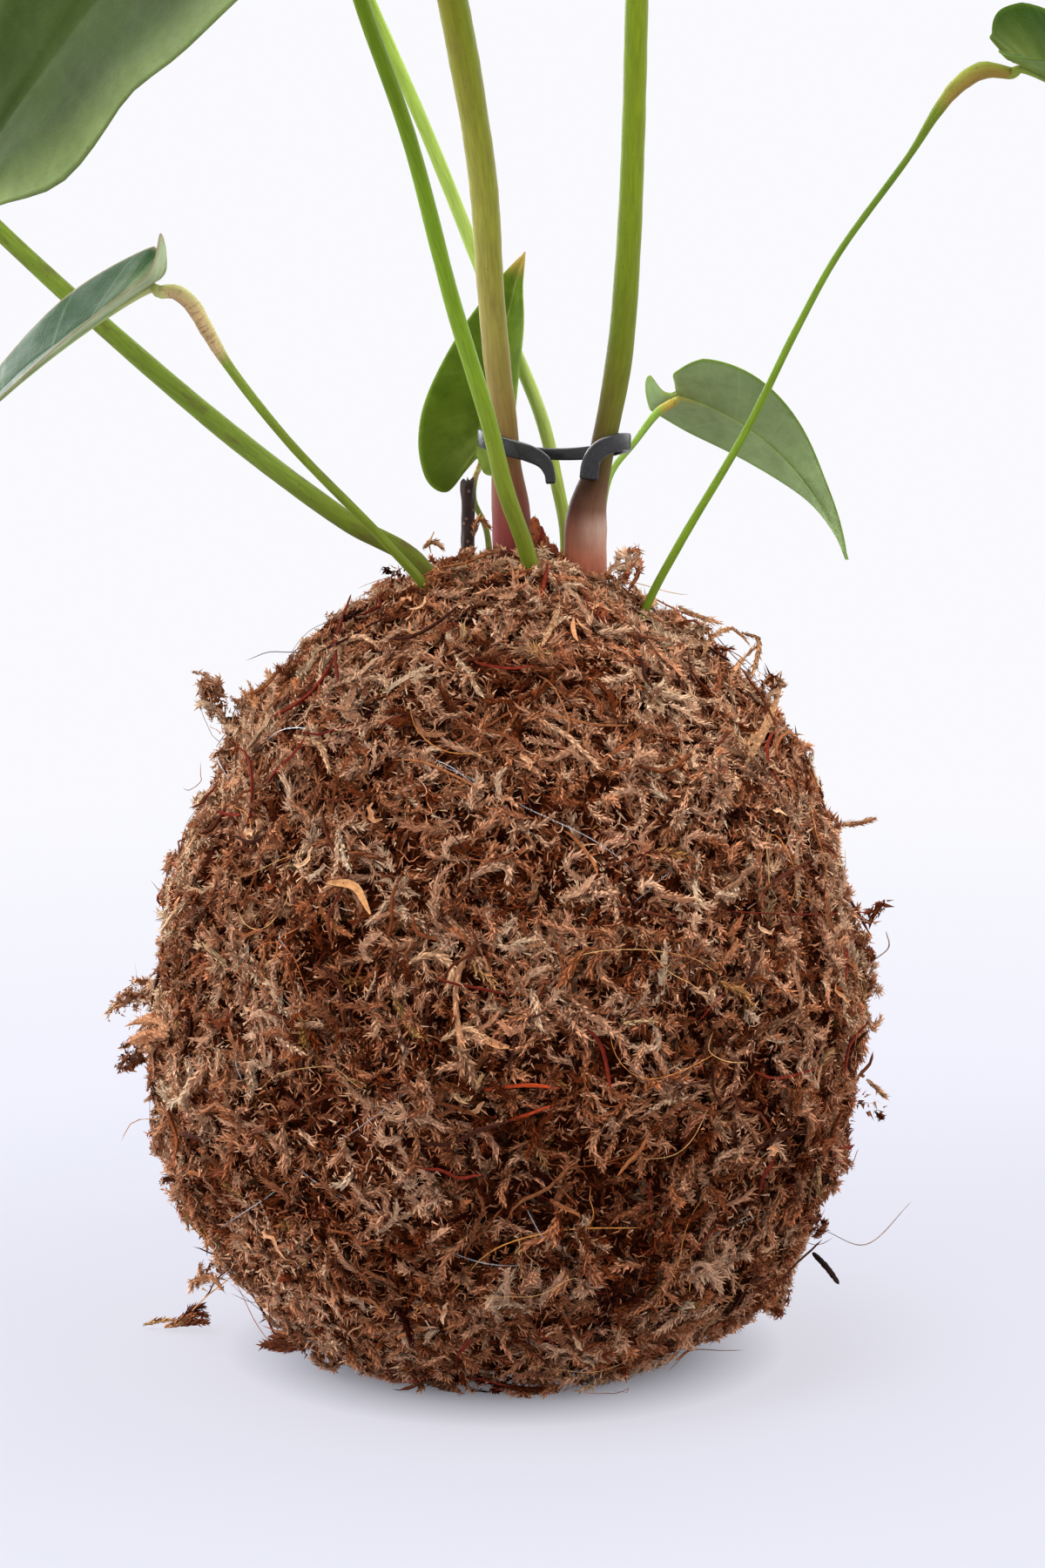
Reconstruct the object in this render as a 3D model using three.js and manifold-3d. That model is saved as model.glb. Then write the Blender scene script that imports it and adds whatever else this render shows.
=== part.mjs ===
// Kokedama: a ball of soil wrapped in dried brown sphagnum moss and bound with clear thread, with a
// young arrow-leaved plant growing out of its top. A short stake stands beside the plant, and a
// plastic clip holds its two thick stems together.
//
// Millimetres, +Z up, +Y away from the viewer. The origin is the centre of the flat spot under the
// ball, where it rests.

import * as THREE from 'three';
import { mergeVertices } from 'three/addons/utils/BufferGeometryUtils.js';
import Module from 'manifold-3d';

const wasm = await Module();
wasm.setup();

// Ball of moss
const ballRadius = 56;
const ballMiddle = 60;
const moundRise = 69;
const footDrop = 63;
const moundFullness = 1.85;
const footFullness = 2.45;
const lumpHeight = 1.5;
const bulge = 1;
const ballFaces = 10;

// Strands of moss, in bundles larger than life
const strandCount = 77;
const strandLength = [13, 25];
const strandRadius = [1.7, 2.5];
const strandSides = 3;
const strandSteps = 3;
const tipLift = [0.4, 2.4];
const tipShare = 0.62;
const strandBend = 1.6;
const collarCount = 6;
const collarRadius = 19;

// Ball of soil
const soilRadius = 43;
const soilStretch = 1.1;
const crumbHeight = 0.7;
const soilFaces = 6;

// Thread
const threadRadius = 0.35;
const threadLift = 2.2;
const threadSides = 4;
const threadSteps = 32;
const threadTurns = [
  { tilt: 34, turn: 20 },
  { tilt: 48, turn: 140 },
  { tilt: 40, turn: 262 },
];

// Leaves
const bladeThickness = 0.8;
const ribDepth = 0.5;
const bladeColumns = 6;
const largeLeaf = 70;

// Clearances: between pieces, and round a stem in its hole
const gap = 0.3;
const holeGap = 0.35;
const holeAboveMoss = 8;
const stemSides = 8;
const seed = 20117;

const colours = {
  moss: 0x74503c,
  soil: 0x3a2a20,
  thread: 0xdfe3e6,
  stake: 0x2a1c18,
  clip: 0x46474f,
  thickStem: 0x8c8c50,
  greenStem: 0x78963a,
  stalk: 0x5f9a2c,
  paleStalk: 0x9cbe4e,
  leaf: 0x466e32,
  youngLeaf: 0x4e8030,
};

// Routes of the stems and leaf stalks, from the foot in the soil to the blade.
// Each point is x, y, z and the radius there.
const routes = {
  stem_thick_left: [
    [2, 3, 90, 2.4], [1.8, 3, 112, 3], [1.5, 3, 127, 3.6], [0.9, 3, 137, 3.3], [0.2, 3, 144, 2.5],
    [0, 3, 150, 2.1], [-1.2, 3, 160, 2.25], [-2.3, 3.5, 172, 2.3], [-3.6, 4, 190, 2.4],
    [-8.2, 6, 217, 2.6], [-14.5, 7, 245, 2.5], [-22, 8, 273, 2.4], [-28, 7, 290, 2.7], [-33, 4, 300.3, 2.1],
  ],
  stem_thick_right: [
    [11.5, 0, 90, 2.4], [12.2, 0, 112, 3], [12.8, 0, 127, 3.7], [12.9, 0, 134, 3.7],
    [13.3, 0, 138, 3.1], [14.4, 0.4, 142, 2.4], [15.6, 1, 147, 2.05], [18.2, 2, 161, 2.25],
    [19.6, 2.3, 178, 2.1], [20.4, 3, 198, 2], [21, 4, 222, 1.95], [22.5, 6, 250, 1.9],
    [27, 8, 276, 1.9], [33, 10, 291, 2.3], [39, 12, 297.1, 2],
  ],
  stalk_front: [
    [4.6, -8, 97, 1.4], [4.6, -8.6, 114, 1.5], [4.2, -9, 128, 1.5], [0.1, -11, 141, 1.55],
    [-2.6, -12, 152, 1.5], [-8, -14, 170, 1.45], [-14.5, -19, 195, 1.35], [-21.4, -26, 215, 1.3],
    [-27, -34, 234, 1.3], [-32, -42, 250, 1.4], [-36, -49, 258, 1.8], [-39, -55, 260, 1.5],
  ],
  stalk_back: [
    [8.5, 10.5, 97, 1.1], [9.4, 11.3, 114, 1.2], [9.9, 12, 132, 1.2], [8.5, 14, 140, 1.2],
    [5.9, 17, 151, 1.25], [-1.2, 22, 168, 1.3], [-12.1, 32, 195, 1.3], [-22.7, 41, 219, 1.25],
    [-29.5, 47, 234, 1.25], [-36, 53, 246.5, 1.7], [-40.9, 55.4, 250.9, 1.3],
  ],
  stalk_left: [
    [-7.5, -1.5, 97, 1.4], [-9.5, -1.8, 114, 1.5], [-13.3, -2, 128, 1.5], [-25.2, -2, 135.4, 1.6],
    [-42.5, -2, 148.3, 1.7], [-64, -0.5, 166.5, 1.5], [-79.8, 0, 181, 1.4], [-93, 0, 194, 1.35],
    [-104, -1, 205.5, 1.4], [-110, -1.5, 210.5, 1.8], [-115, -2, 211.5, 1.5],
  ],
  stalk_far_left: [
    [-6, -7, 97, 0.8], [-8, -7.4, 112, 0.85], [-11.8, -8, 124, 0.85], [-18.9, -11, 132.9, 0.8],
    [-33.3, -18, 148.7, 0.75], [-42.2, -23, 160.7, 0.8], [-45, -24.5, 165.6, 1.2],
    [-47.6, -26, 170.2, 1.3], [-50, -26.3, 171.9, 1.25], [-52.2, -26.5, 171.8, 1],
  ],
  stalk_right: [
    [17.5, -3, 97, 0.85], [19.5, -3.6, 112, 0.9], [22.6, -4, 122, 0.85], [27.8, -2, 131.7, 0.85],
    [38.8, 4, 149.7, 0.8], [46.7, 8, 165.2, 0.75], [53.6, 12, 177.3, 0.7], [65.8, 18, 193.6, 0.7],
    [70.2, 20, 200.4, 1.1], [73.4, 20.6, 204.4, 1.2], [77.5, 21, 207, 1.25], [82.4, 21.4, 206.6, 1],
  ],
  stalk_back_right: [
    [14.5, 12.2, 97, 0.6], [15, 13, 114, 0.6], [15.5, 14, 130, 0.6], [17.1, 20, 141, 0.55],
    [21.5, 26, 146.6, 0.55], [25.4, 31, 151.2, 0.75], [28, 34.4, 152.7, 0.7],
  ],
  stalk_small_leaf: [
    [-2.4, 10.5, 97, 0.6], [-2.4, 11.5, 114, 0.6], [-2.5, 13, 127, 0.55], [-3.2, 15.3, 133, 0.5],
    [-5.2, 17.6, 137.5, 0.5], [-5, 18.5, 141, 0.5], [-4.1, 18.1, 143.4, 0.5],
  ],
};

// Blades: where the stalk meets the blade, the way to the tip, the way its upper face looks, how
// far its back lobes reach and rise, and its bends in degrees. One blade has a shorter other lobe.
const blades = {
  leaf_thick_left: {
    at: [-33, 4, 302], tip: [-0.72, -0.6, 0.12], face: [-0.1, 0, 1], length: 118, halfWidth: 42,
    lobe: 1, rise: 3, droop: 62, fold: 14, wave: 2.6, waves: 3, phase: 0.4,
  },
  leaf_thick_right: {
    at: [39, 12, 299.5], tip: [0.86, 0.42, 0.2], face: [0.05, -0.15, 1], length: 112, halfWidth: 40,
    lobe: 1, rise: 3, droop: 66, fold: 16, wave: 2.4, waves: 3, phase: 2.1,
  },
  leaf_front: {
    at: [-39.5, -55, 262.5], tip: [-0.35, -0.92, 0.1], face: [-0.1, 0, 1], length: 92,
    halfWidth: 33, lobe: 1, rise: 2, droop: 42, fold: 15, wave: 2.2, waves: 3, phase: 1.2,
  },
  leaf_back: {
    at: [-41.6, 54.2, 252.6], tip: [-0.69, 0.03, -0.69], face: [-0.42, -0.74, 0.5], length: 96,
    halfWidth: 34.8, lobe: 1, rise: 2, droop: 18, fold: 8, wave: 1.6, waves: 3, phase: 0.9,
  },
  leaf_left: {
    at: [-115.5, -2, 214], tip: [-0.82, -0.22, -0.4], face: [-0.5, -0.1, 0.8], length: 76,
    halfWidth: 27, lobe: 0.8, rise: 2, droop: 40, fold: 14, wave: 1.8, waves: 3, phase: 2.8,
  },
  leaf_far_left: {
    at: [-52.4, -26, 173.9], tip: [-0.85, 0.06, -0.5], face: [-0.5, -0.2, 0.84], length: 58,
    halfWidth: 14.4, lobe: 0.34, rise: 3, droop: 20, fold: 10, wave: 0.8, waves: 2, phase: 1.1,
  },
  leaf_right: {
    at: [83, 20.4, 208.3], tip: [0.86, 0.26, -0.32], face: [0.12, -0.42, 0.88], length: 52,
    halfWidth: 12, lobe: 0.36, rise: 1, droop: 46, fold: 30, wave: 1, waves: 2, phase: 0.2,
  },
  leaf_back_right: {
    at: [28.6, 34, 154.3], tip: [0.93, 0.28, -0.24], face: [0.2, 0.5, 0.84], length: 38.5,
    halfWidth: 11.8, lobe: 0.28, rise: 1, droop: 62, fold: 5, wave: 0.8, waves: 2, phase: 1.9,
  },
  leaf_small: {
    at: [-4.6, 16.6, 144.5], tip: [0.2, 0.06, 0.975], face: [-0.52, -0.85, 0.06], length: 34.4,
    halfWidth: 10, lobe: 0.8, otherLobe: 0.3, rise: 0, droop: 6, fold: 29, wave: 0.5, waves: 2,
    phase: 0.5,
  },
};

// Half of a blade's outline, from the notch round the back lobe to the tip:
// along the midrib in lengths, and across it in half widths
const bladeOutline = [
  [0, 0], [-0.11, 0.17], [-0.24, 0.42], [-0.19, 0.75], [0.02, 0.97],
  [0.25, 1], [0.54, 0.77], [0.82, 0.34], [1, 0],
];
const lobeReach = 0.24;

// Tufts that stand out of the ball's outline: foot and free end
const tufts = [
  { foot: [-54, 0, 58], end: [-64, -4, 56], radius: 2.4 },
  { foot: [-55, 2, 50], end: [-62, 0, 47], radius: 2 },
  { foot: [-42, 2, 100], end: [-49, 2, 109], radius: 1.9 },
  { foot: [35, -4, 100], end: [43, -5, 111], radius: 2.2 },
  { foot: [24, -2, 110], end: [33, -3, 118.5], radius: 2.6 },
  { foot: [17, -6, 120], end: [20.5, -6, 131], radius: 1.7 },
  { foot: [54, 0, 66], end: [61.5, -2, 74], radius: 1.5 },
  { foot: [54, 2, 42], end: [62, 2, 37], radius: 1.4 },
  { foot: [-42, -8, 17], end: [-50, -8, 12], radius: 1.9 },
  { foot: [-14, 2, 122], end: [-19, -1, 128], radius: 1.8 },
];

const stake = { x: -6.2, y: 14, foot: 72, top: 141.5, radius: 1.2 };

// The clip's strip hooks round both thick stems, and its two free ends hang down in front
const clipThickness = 1.5;
const clipHeight = 2.8;
const clipRoute = [
  [7.3, -1.3, 141.3], [7.1, -1.3, 142.9], [6.2, -1.3, 144.7], [4, -1.2, 146], [0.6, -0.6, 147],
  [-2.7, 0.6, 148], [-3.7, 3.2, 148.4], [-2.6, 5.7, 147.6], [1, 6.6, 146.2], [8, 5.8, 145.6],
  [14.5, 4.7, 146], [18.4, 3.2, 147], [19.4, 0.7, 147.8], [18, -1.8, 147.9], [15.7, -2.8, 147.2],
  [14.1, -3.1, 145.7], [13.5, -3.1, 143.9], [13.3, -3.1, 142],
];

const up = new THREE.Vector3(0, 0, 1);
const middle = new THREE.Vector3(0, 0, ballMiddle);

// A repeatable random number from 0 to 1
function randomSource(start) {
  let state = start;
  return () => {
    state = (state + 0x6d2b79f5) | 0;
    let mixed = Math.imul(state ^ (state >>> 15), 1 | state);
    mixed = (mixed + Math.imul(mixed ^ (mixed >>> 7), 61 | mixed)) ^ mixed;
    return ((mixed ^ (mixed >>> 14)) >>> 0) / 4294967296;
  };
}

function between(random, [low, high]) {
  return low + (high - low) * random();
}

// The geometry with shared vertices and without faces that have shrunk to nothing
function welded(geometry) {
  geometry.deleteAttribute('normal');
  geometry.deleteAttribute('uv');
  const merged = mergeVertices(geometry, 1e-4);
  const faces = [];
  const { array } = merged.index;
  for (let i = 0; i < array.length; i += 3) {
    const [a, b, c] = [array[i], array[i + 1], array[i + 2]];
    if (a !== b && b !== c && c !== a) faces.push(a, b, c);
  }
  merged.setIndex(faces);
  return merged;
}

function solidOf(geometry) {
  const merged = welded(geometry);
  return new wasm.Manifold(new wasm.Mesh({
    numProp: 3,
    vertProperties: Float32Array.from(merged.attributes.position.array),
    triVerts: Uint32Array.from(merged.index.array),
  }));
}

function geometryOf(solid) {
  const mesh = solid.getMesh();
  const geometry = new THREE.BufferGeometry();
  geometry.setAttribute('position', new THREE.BufferAttribute(mesh.vertProperties, 3));
  geometry.setIndex(new THREE.BufferAttribute(mesh.triVerts, 1));
  return geometry;
}

// Moves every vertex of a geometry by a function of its place
function shaped(geometry, move) {
  const position = geometry.attributes.position;
  const point = new THREE.Vector3();
  for (let i = 0; i < position.count; i += 1) {
    point.fromBufferAttribute(position, i);
    move(point);
    position.setXYZ(i, point.x, point.y, point.z);
  }
  return geometry;
}

// A round rod along points of x, y, z and radius, with flat ends. With fewer rings than steps it
// stops short of the last point, and extra and deeper make it wider and its foot lower.
function rod(points, sides, steps, rings = steps, extra = 0, deeper = 0) {
  const curve = new THREE.CatmullRomCurve3(points.map(([x, y, z]) => new THREE.Vector3(x, y, z)));
  const frames = curve.computeFrenetFrames(steps);
  const last = points.length - 1;
  return shaped(new THREE.CylinderGeometry(1, 1, 1, sides, rings), (p) => {
    const step = Math.round((p.y + 0.5) * rings);
    const along = step / steps;
    const place = curve.getUtoTmapping(along) * last;
    const from = Math.min(Math.floor(place), last - 1);
    const radius = extra + THREE.MathUtils.lerp(points[from][3], points[from + 1][3], place - from);
    const { x, z } = p;
    curve.getPointAt(along, p);
    p.addScaledVector(frames.normals[step], x * radius);
    p.addScaledVector(frames.binormals[step], -z * radius);
    if (step === 0) p.addScaledVector(frames.tangents[0], -deeper);
  });
}

// A flat strip along points, with its height kept as upright as the route lets it
function strip(points, thickness, height, steps) {
  const curve = new THREE.CatmullRomCurve3(points.map(([x, y, z]) => new THREE.Vector3(x, y, z)));
  return shaped(new THREE.BoxGeometry(thickness, height, 1, 1, 1, steps), (p) => {
    const along = THREE.MathUtils.clamp(p.z + 0.5, 0, 1);
    const forward = curve.getTangentAt(along);
    const outward = new THREE.Vector3().crossVectors(up, forward).normalize();
    const upward = new THREE.Vector3().crossVectors(forward, outward);
    const { x, y } = p;
    curve.getPointAt(along, p);
    p.addScaledVector(outward, x).addScaledVector(upward, y);
  });
}

// Distance from the ball's middle to the smooth outside of the moss, in a direction
function mossReach(direction) {
  const level = Math.hypot(direction.x, direction.y) / ballRadius;
  const above = direction.z > 0;
  const power = above ? moundFullness : footFullness;
  const rise = Math.abs(direction.z) / (above ? moundRise : footDrop);
  return (level ** power + rise ** power) ** (-1 / power);
}

// Low lumps in the moss: waves across the ball in several directions, and a bulge to the right
function mossLumps(direction) {
  const { x, y, z } = direction;
  const waves = Math.sin(11 * x + 4 * y + 1.3) + Math.sin(12 * y - 7 * z + 0.4)
    + Math.sin(14 * z + 6 * x + 2.2) + Math.sin(17 * (x - y) + 5 * z + 4.1);
  return lumpHeight * 0.5 * waves + bulge * x;
}

function onMoss(direction, height) {
  const reach = mossReach(direction) + mossLumps(direction) + height;
  return direction.clone().multiplyScalar(reach).add(middle);
}

// A cube's grid spread evenly over a ball
function ballGrid(faces, place) {
  return shaped(new THREE.BoxGeometry(2, 2, 2, faces, faces, faces), (p) => {
    p.set(Math.tan(p.x * Math.PI / 4), Math.tan(p.y * Math.PI / 4), Math.tan(p.z * Math.PI / 4));
    p.copy(place(p.normalize().clone()));
  });
}

// One strand that lies along the moss from a direction, its foot sunk and its end lifted
function strandPoints(random, start) {
  const side = new THREE.Vector3(random() - 0.5, random() - 0.5, random() - 0.5);
  side.cross(start).normalize();
  const bend = (random() - 0.5) * strandBend;
  const length = between(random, strandLength);
  const radius = between(random, strandRadius);
  const lift = between(random, tipLift);
  const points = [];
  for (let i = 0; i <= 4; i += 1) {
    const t = i / 4;
    const heading = side.clone().applyAxisAngle(start, bend * t);
    const direction = start.clone().addScaledVector(heading, (t * length) / ballRadius).normalize();
    const height = i === 0 ? -1.2 * radius : lift * t * t - 0.15 * radius;
    const { x, y, z } = onMoss(direction, height);
    points.push([x, y, z, i < 3 ? radius : tipShare * radius]);
  }
  return points;
}

function strands() {
  const random = randomSource(seed);
  const all = [];
  for (let i = 0; i < strandCount; i += 1) {
    const z = 1 - (2 * (i + 0.5)) / strandCount;
    const turn = i * Math.PI * (3 - Math.sqrt(5)) + random() * 0.5;
    const level = Math.sqrt(1 - z * z);
    const start = new THREE.Vector3(level * Math.cos(turn), level * Math.sin(turn), z);
    all.push(rod(strandPoints(random, start), strandSides, strandSteps));
  }
  for (let i = 0; i < collarCount; i += 1) {
    const turn = ((i + random() * 0.6) / collarCount) * Math.PI * 2;
    const start = new THREE.Vector3(
      collarRadius * Math.cos(turn) + 4, collarRadius * Math.sin(turn), moundRise,
    );
    all.push(rod(strandPoints(random, start.normalize()), strandSides, strandSteps));
  }
  return all;
}

function tuftRod({ foot, end, radius }) {
  const half = foot.map((value, i) => (value + end[i]) / 2);
  half[2] += radius * 0.4;
  return rod([[...foot, radius], [...half, radius], [...end, radius * 0.45]], 5, 4);
}

function threadLoop({ tilt, turn }, extra) {
  const lean = new THREE.Quaternion().setFromEuler(new THREE.Euler(
    THREE.MathUtils.degToRad(tilt), 0, THREE.MathUtils.degToRad(turn), 'ZXY',
  ));
  const core = 10;
  const loop = new THREE.TorusGeometry(core, threadRadius + extra, threadSides, threadSteps);
  return shaped(loop, (p) => {
    const turned = Math.atan2(p.y, p.x);
    const outward = Math.hypot(p.x, p.y) - core;
    const sideways = up.clone().applyQuaternion(lean).multiplyScalar(p.z);
    const direction = new THREE.Vector3(Math.cos(turned), Math.sin(turned), 0).applyQuaternion(lean);
    p.copy(direction).multiplyScalar(mossReach(direction) + threadLift + outward);
    p.add(sideways).add(middle);
  });
}

function soilSurface(direction, extra) {
  const { x, y, z } = direction;
  const waves = Math.sin(19 * x + 7 * z) + Math.sin(23 * y - 5 * x) + Math.sin(21 * z + 3);
  const crumbs = (crumbHeight * waves) / 3;
  const place = direction.clone().multiplyScalar(soilRadius + crumbs + extra);
  place.z = place.z * soilStretch + ballMiddle;
  return place;
}

function soilGrid(extra) {
  return ballGrid(soilFaces, (direction) => soilSurface(direction, extra));
}

function stakeRod(extra) {
  const { x, y, foot, top, radius } = stake;
  const length = top - foot + 2 * extra;
  const cylinder = new THREE.CylinderGeometry(radius + extra, radius + extra, length, 10);
  return cylinder.rotateX(Math.PI / 2).translate(x, y, (foot + top) / 2);
}

function stemSteps(points) {
  return 2 * points.length - 2;
}

// The hole that a stem stands in: its own route up to just above the moss, a little wider and deeper
function holeOf(points) {
  const steps = stemSteps(points);
  const curve = new THREE.CatmullRomCurve3(points.map(([x, y, z]) => new THREE.Vector3(x, y, z)));
  const top = ballMiddle + moundRise + holeAboveMoss;
  let rings = 1;
  while (curve.getPointAt(rings / steps).z < top) rings += 1;
  return rod(points, stemSides, steps, rings, holeGap, gap);
}

// Half blade: the vein from the midrib to the margin at u, and the place v along it
function bladePlace(leaf, outline, across, u) {
  const margin = outline.getPoint(u);
  const v = Math.abs(across);
  const rib = leaf.length * (0.12 * u + 0.88 * u ** 3);
  const lobe = across < 0 && leaf.otherLobe ? leaf.otherLobe : leaf.lobe;
  const edge = margin.x * leaf.length * (margin.x < 0 ? lobe : 1);
  const x = THREE.MathUtils.lerp(rib, edge, v);
  const y = v * margin.y * leaf.halfWidth;
  const lobeShare = Math.min(0, x) / (lobeReach * leaf.length * lobe);
  const fold = THREE.MathUtils.degToRad(leaf.fold);
  const side = Math.sign(across);
  const wave = leaf.wave * v * v * Math.sin(2 * Math.PI * leaf.waves * u + leaf.phase + side);
  const height = y * Math.sin(fold) + wave * Math.min(1, 6 * u) * Math.min(1, 6 * (1 - u));
  return { x, y: side * y * Math.cos(fold), height: height + leaf.rise * lobeShare ** 2 };
}

// The blade on its own axes: midrib along x, upper face along z, curved down towards the tip
function bladeSheet(leaf, columns, rows, lift) {
  const outline = new THREE.SplineCurve(bladeOutline.map(([x, y]) => new THREE.Vector2(x, y)));
  const droop = THREE.MathUtils.degToRad(leaf.droop);
  return shaped(new THREE.PlaneGeometry(2, 1, columns, rows), (p) => {
    const u = THREE.MathUtils.clamp(0.5 - p.y, 0, 1);
    const place = bladePlace(leaf, outline, p.x, u);
    const turned = (droop * place.x) / leaf.length;
    const height = place.height + lift(p.x, u);
    const reach = leaf.length / droop;
    p.x = reach * Math.sin(turned) + height * Math.sin(turned);
    p.z = reach * (Math.cos(turned) - 1) + height * Math.cos(turned);
    p.y = place.y;
  });
}

function rimFaces(columns, rows, lower) {
  const faces = [];
  for (let row = 0; row < rows; row += 1) {
    const left = row * (columns + 1);
    const nextLeft = left + columns + 1;
    const right = left + columns;
    const nextRight = right + columns + 1;
    faces.push(left, nextLeft + lower, nextLeft, left, left + lower, nextLeft + lower);
    faces.push(right, nextRight, nextRight + lower, right, nextRight + lower, right + lower);
  }
  return faces;
}

function blade(leaf) {
  const rows = leaf.length > largeLeaf ? 14 : 10;
  const top = bladeSheet(leaf, bladeColumns, rows, () => bladeThickness / 2);
  const bottom = bladeSheet(leaf, bladeColumns, rows, (across, u) => {
    const rib = Math.abs(across) < 0.01 && u > 0.3 && u < 0.98 ? ribDepth : 0;
    return -bladeThickness / 2 - rib;
  });
  const lower = top.attributes.position.count;
  const upperFaces = Array.from(top.index.array);
  const faces = [];
  for (let i = 0; i < upperFaces.length; i += 3) {
    const [a, b, c] = upperFaces.slice(i, i + 3);
    faces.push(a, b, c, a + lower, c + lower, b + lower);
  }
  faces.push(...rimFaces(bladeColumns, rows, lower));
  const geometry = new THREE.BufferGeometry();
  const upperPlaces = Array.from(top.attributes.position.array);
  const places = Float32Array.from([...upperPlaces, ...bottom.attributes.position.array]);
  geometry.setAttribute('position', new THREE.BufferAttribute(places, 3));
  geometry.setIndex(faces);
  return welded(geometry);
}

function named(name, geometry, colour, roughness) {
  const material = new THREE.MeshStandardMaterial({ color: colour, roughness, metalness: 0 });
  const mesh = new THREE.Mesh(geometry, material);
  mesh.name = name;
  return mesh;
}

function mossBall() {
  let solid = solidOf(ballGrid(ballFaces, (direction) => onMoss(direction, 0)));
  for (const strand of strands()) solid = solid.add(solidOf(strand));
  for (const tuft of tufts) solid = solid.add(solidOf(tuftRod(tuft)));
  const floor = new THREE.BoxGeometry(4 * ballRadius, 4 * ballRadius, ballRadius);
  solid = solid.subtract(solidOf(floor.translate(0, 0, -ballRadius / 2)));
  solid = solid.subtract(solidOf(soilGrid(gap + 0.05)));
  for (const points of Object.values(routes)) solid = solid.subtract(solidOf(holeOf(points)));
  solid = solid.subtract(solidOf(stakeRod(gap)));
  for (const turn of threadTurns) solid = solid.subtract(solidOf(threadLoop(turn, gap)));
  const pieces = solid.decompose();
  return pieces.reduce((best, piece) => (piece.volume() > best.volume() ? piece : best));
}

function soilCore() {
  let solid = solidOf(soilGrid(0));
  for (const points of Object.values(routes)) solid = solid.subtract(solidOf(holeOf(points)));
  return solid.subtract(solidOf(stakeRod(gap)));
}

function bindingThread() {
  return threadTurns.map((turn) => solidOf(threadLoop(turn, 0))).reduce((all, loop) => all.add(loop));
}

function leafMesh(name, leaf) {
  const colour = leaf.length > largeLeaf ? colours.leaf : colours.youngLeaf;
  const mesh = named(name, blade(leaf), colour, 0.45);
  const along = new THREE.Vector3(...leaf.tip).normalize();
  const across = new THREE.Vector3(...leaf.face).cross(along).normalize();
  const facing = new THREE.Vector3().crossVectors(along, across);
  mesh.setRotationFromMatrix(new THREE.Matrix4().makeBasis(along, across, facing));
  mesh.position.set(...leaf.at);
  return mesh;
}

function stemColour(name) {
  if (name === 'stem_thick_left') return colours.thickStem;
  if (name === 'stem_thick_right') return colours.greenStem;
  return name === 'stalk_back' ? colours.paleStalk : colours.stalk;
}

const kokedama = new THREE.Group();
kokedama.add(named('moss_ball', geometryOf(mossBall()), colours.moss, 0.95));
kokedama.add(named('soil_core', geometryOf(soilCore()), colours.soil, 0.95));
kokedama.add(named('binding_thread', geometryOf(bindingThread()), colours.thread, 0.2));
for (const [name, points] of Object.entries(routes)) {
  const stem = welded(rod(points, stemSides, stemSteps(points)));
  kokedama.add(named(name, stem, stemColour(name), 0.5));
}
for (const [name, leaf] of Object.entries(blades)) kokedama.add(leafMesh(name, leaf));
kokedama.add(named('stake', welded(stakeRod(0)), colours.stake, 0.8));
const clipSolid = welded(strip(clipRoute, clipThickness, clipHeight, 2 * clipRoute.length));
kokedama.add(named('clip', clipSolid, colours.clip, 0.6));

export default kokedama;
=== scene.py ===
import math

import bmesh
import bpy
import numpy as np
from mathutils import Matrix, Vector
from mathutils.bvhtree import BVHTree


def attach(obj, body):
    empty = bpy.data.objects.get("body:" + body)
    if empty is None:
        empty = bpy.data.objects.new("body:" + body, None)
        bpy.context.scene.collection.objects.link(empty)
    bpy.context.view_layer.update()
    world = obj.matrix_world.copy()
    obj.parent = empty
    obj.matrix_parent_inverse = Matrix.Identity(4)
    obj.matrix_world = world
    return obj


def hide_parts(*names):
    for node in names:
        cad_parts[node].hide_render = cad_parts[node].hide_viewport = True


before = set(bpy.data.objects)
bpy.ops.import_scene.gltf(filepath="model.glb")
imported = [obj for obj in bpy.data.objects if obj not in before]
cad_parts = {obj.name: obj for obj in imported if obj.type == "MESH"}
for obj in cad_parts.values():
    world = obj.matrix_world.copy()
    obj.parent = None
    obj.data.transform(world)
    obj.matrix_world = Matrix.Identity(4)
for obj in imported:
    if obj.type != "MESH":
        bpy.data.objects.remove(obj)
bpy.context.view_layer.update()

# Lengths are millimetres until a mesh is made, +Z up and +Y away from the camera.
MM = 0.001
SEED = 20117
rng = np.random.default_rng(SEED)


def placed(name, data):
    made = bpy.data.objects.new(name, data)
    bpy.context.scene.collection.objects.link(made)
    return made


# camera, for an image of 1200 by 1800 pixels
IMAGE_CENTRE = (600, 900)
EYE = np.array([2.8, -609.5, 178.5])
PITCH = math.radians(8)
LOOK = np.array([0, math.cos(PITCH), -math.sin(PITCH)])
LOOK_UP = np.array([0, math.sin(PITCH), math.cos(PITCH)])
HALF_HEIGHT = 0.2054  # tangent of half the vertical field
SENSOR = 36

camera = placed("camera", bpy.data.cameras.new("camera"))
camera.location = Vector(EYE) * MM
camera.rotation_euler = (math.pi / 2 - PITCH, 0, 0)
camera.data.sensor_width = SENSOR
camera.data.lens = SENSOR / 2 / HALF_HEIGHT
camera.data.clip_start, camera.data.clip_end = 0.01, 50
bpy.context.scene.camera = camera


def ray(px, py):
    """The way from the eye through a pixel of the image."""
    size = HALF_HEIGHT / IMAGE_CENTRE[1]
    way = LOOK + np.array([1, 0, 0]) * (px - IMAGE_CENTRE[0]) * size
    return way - LOOK_UP * (py - IMAGE_CENTRE[1]) * size


# colour and nodes


def linear(colour):
    """Linear values of a colour given as 0 to 255."""
    c = np.asarray(colour, float) / 255
    return np.where(c <= 0.04045, c / 12.92, ((c + 0.055) / 1.055) ** 2.4)


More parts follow.
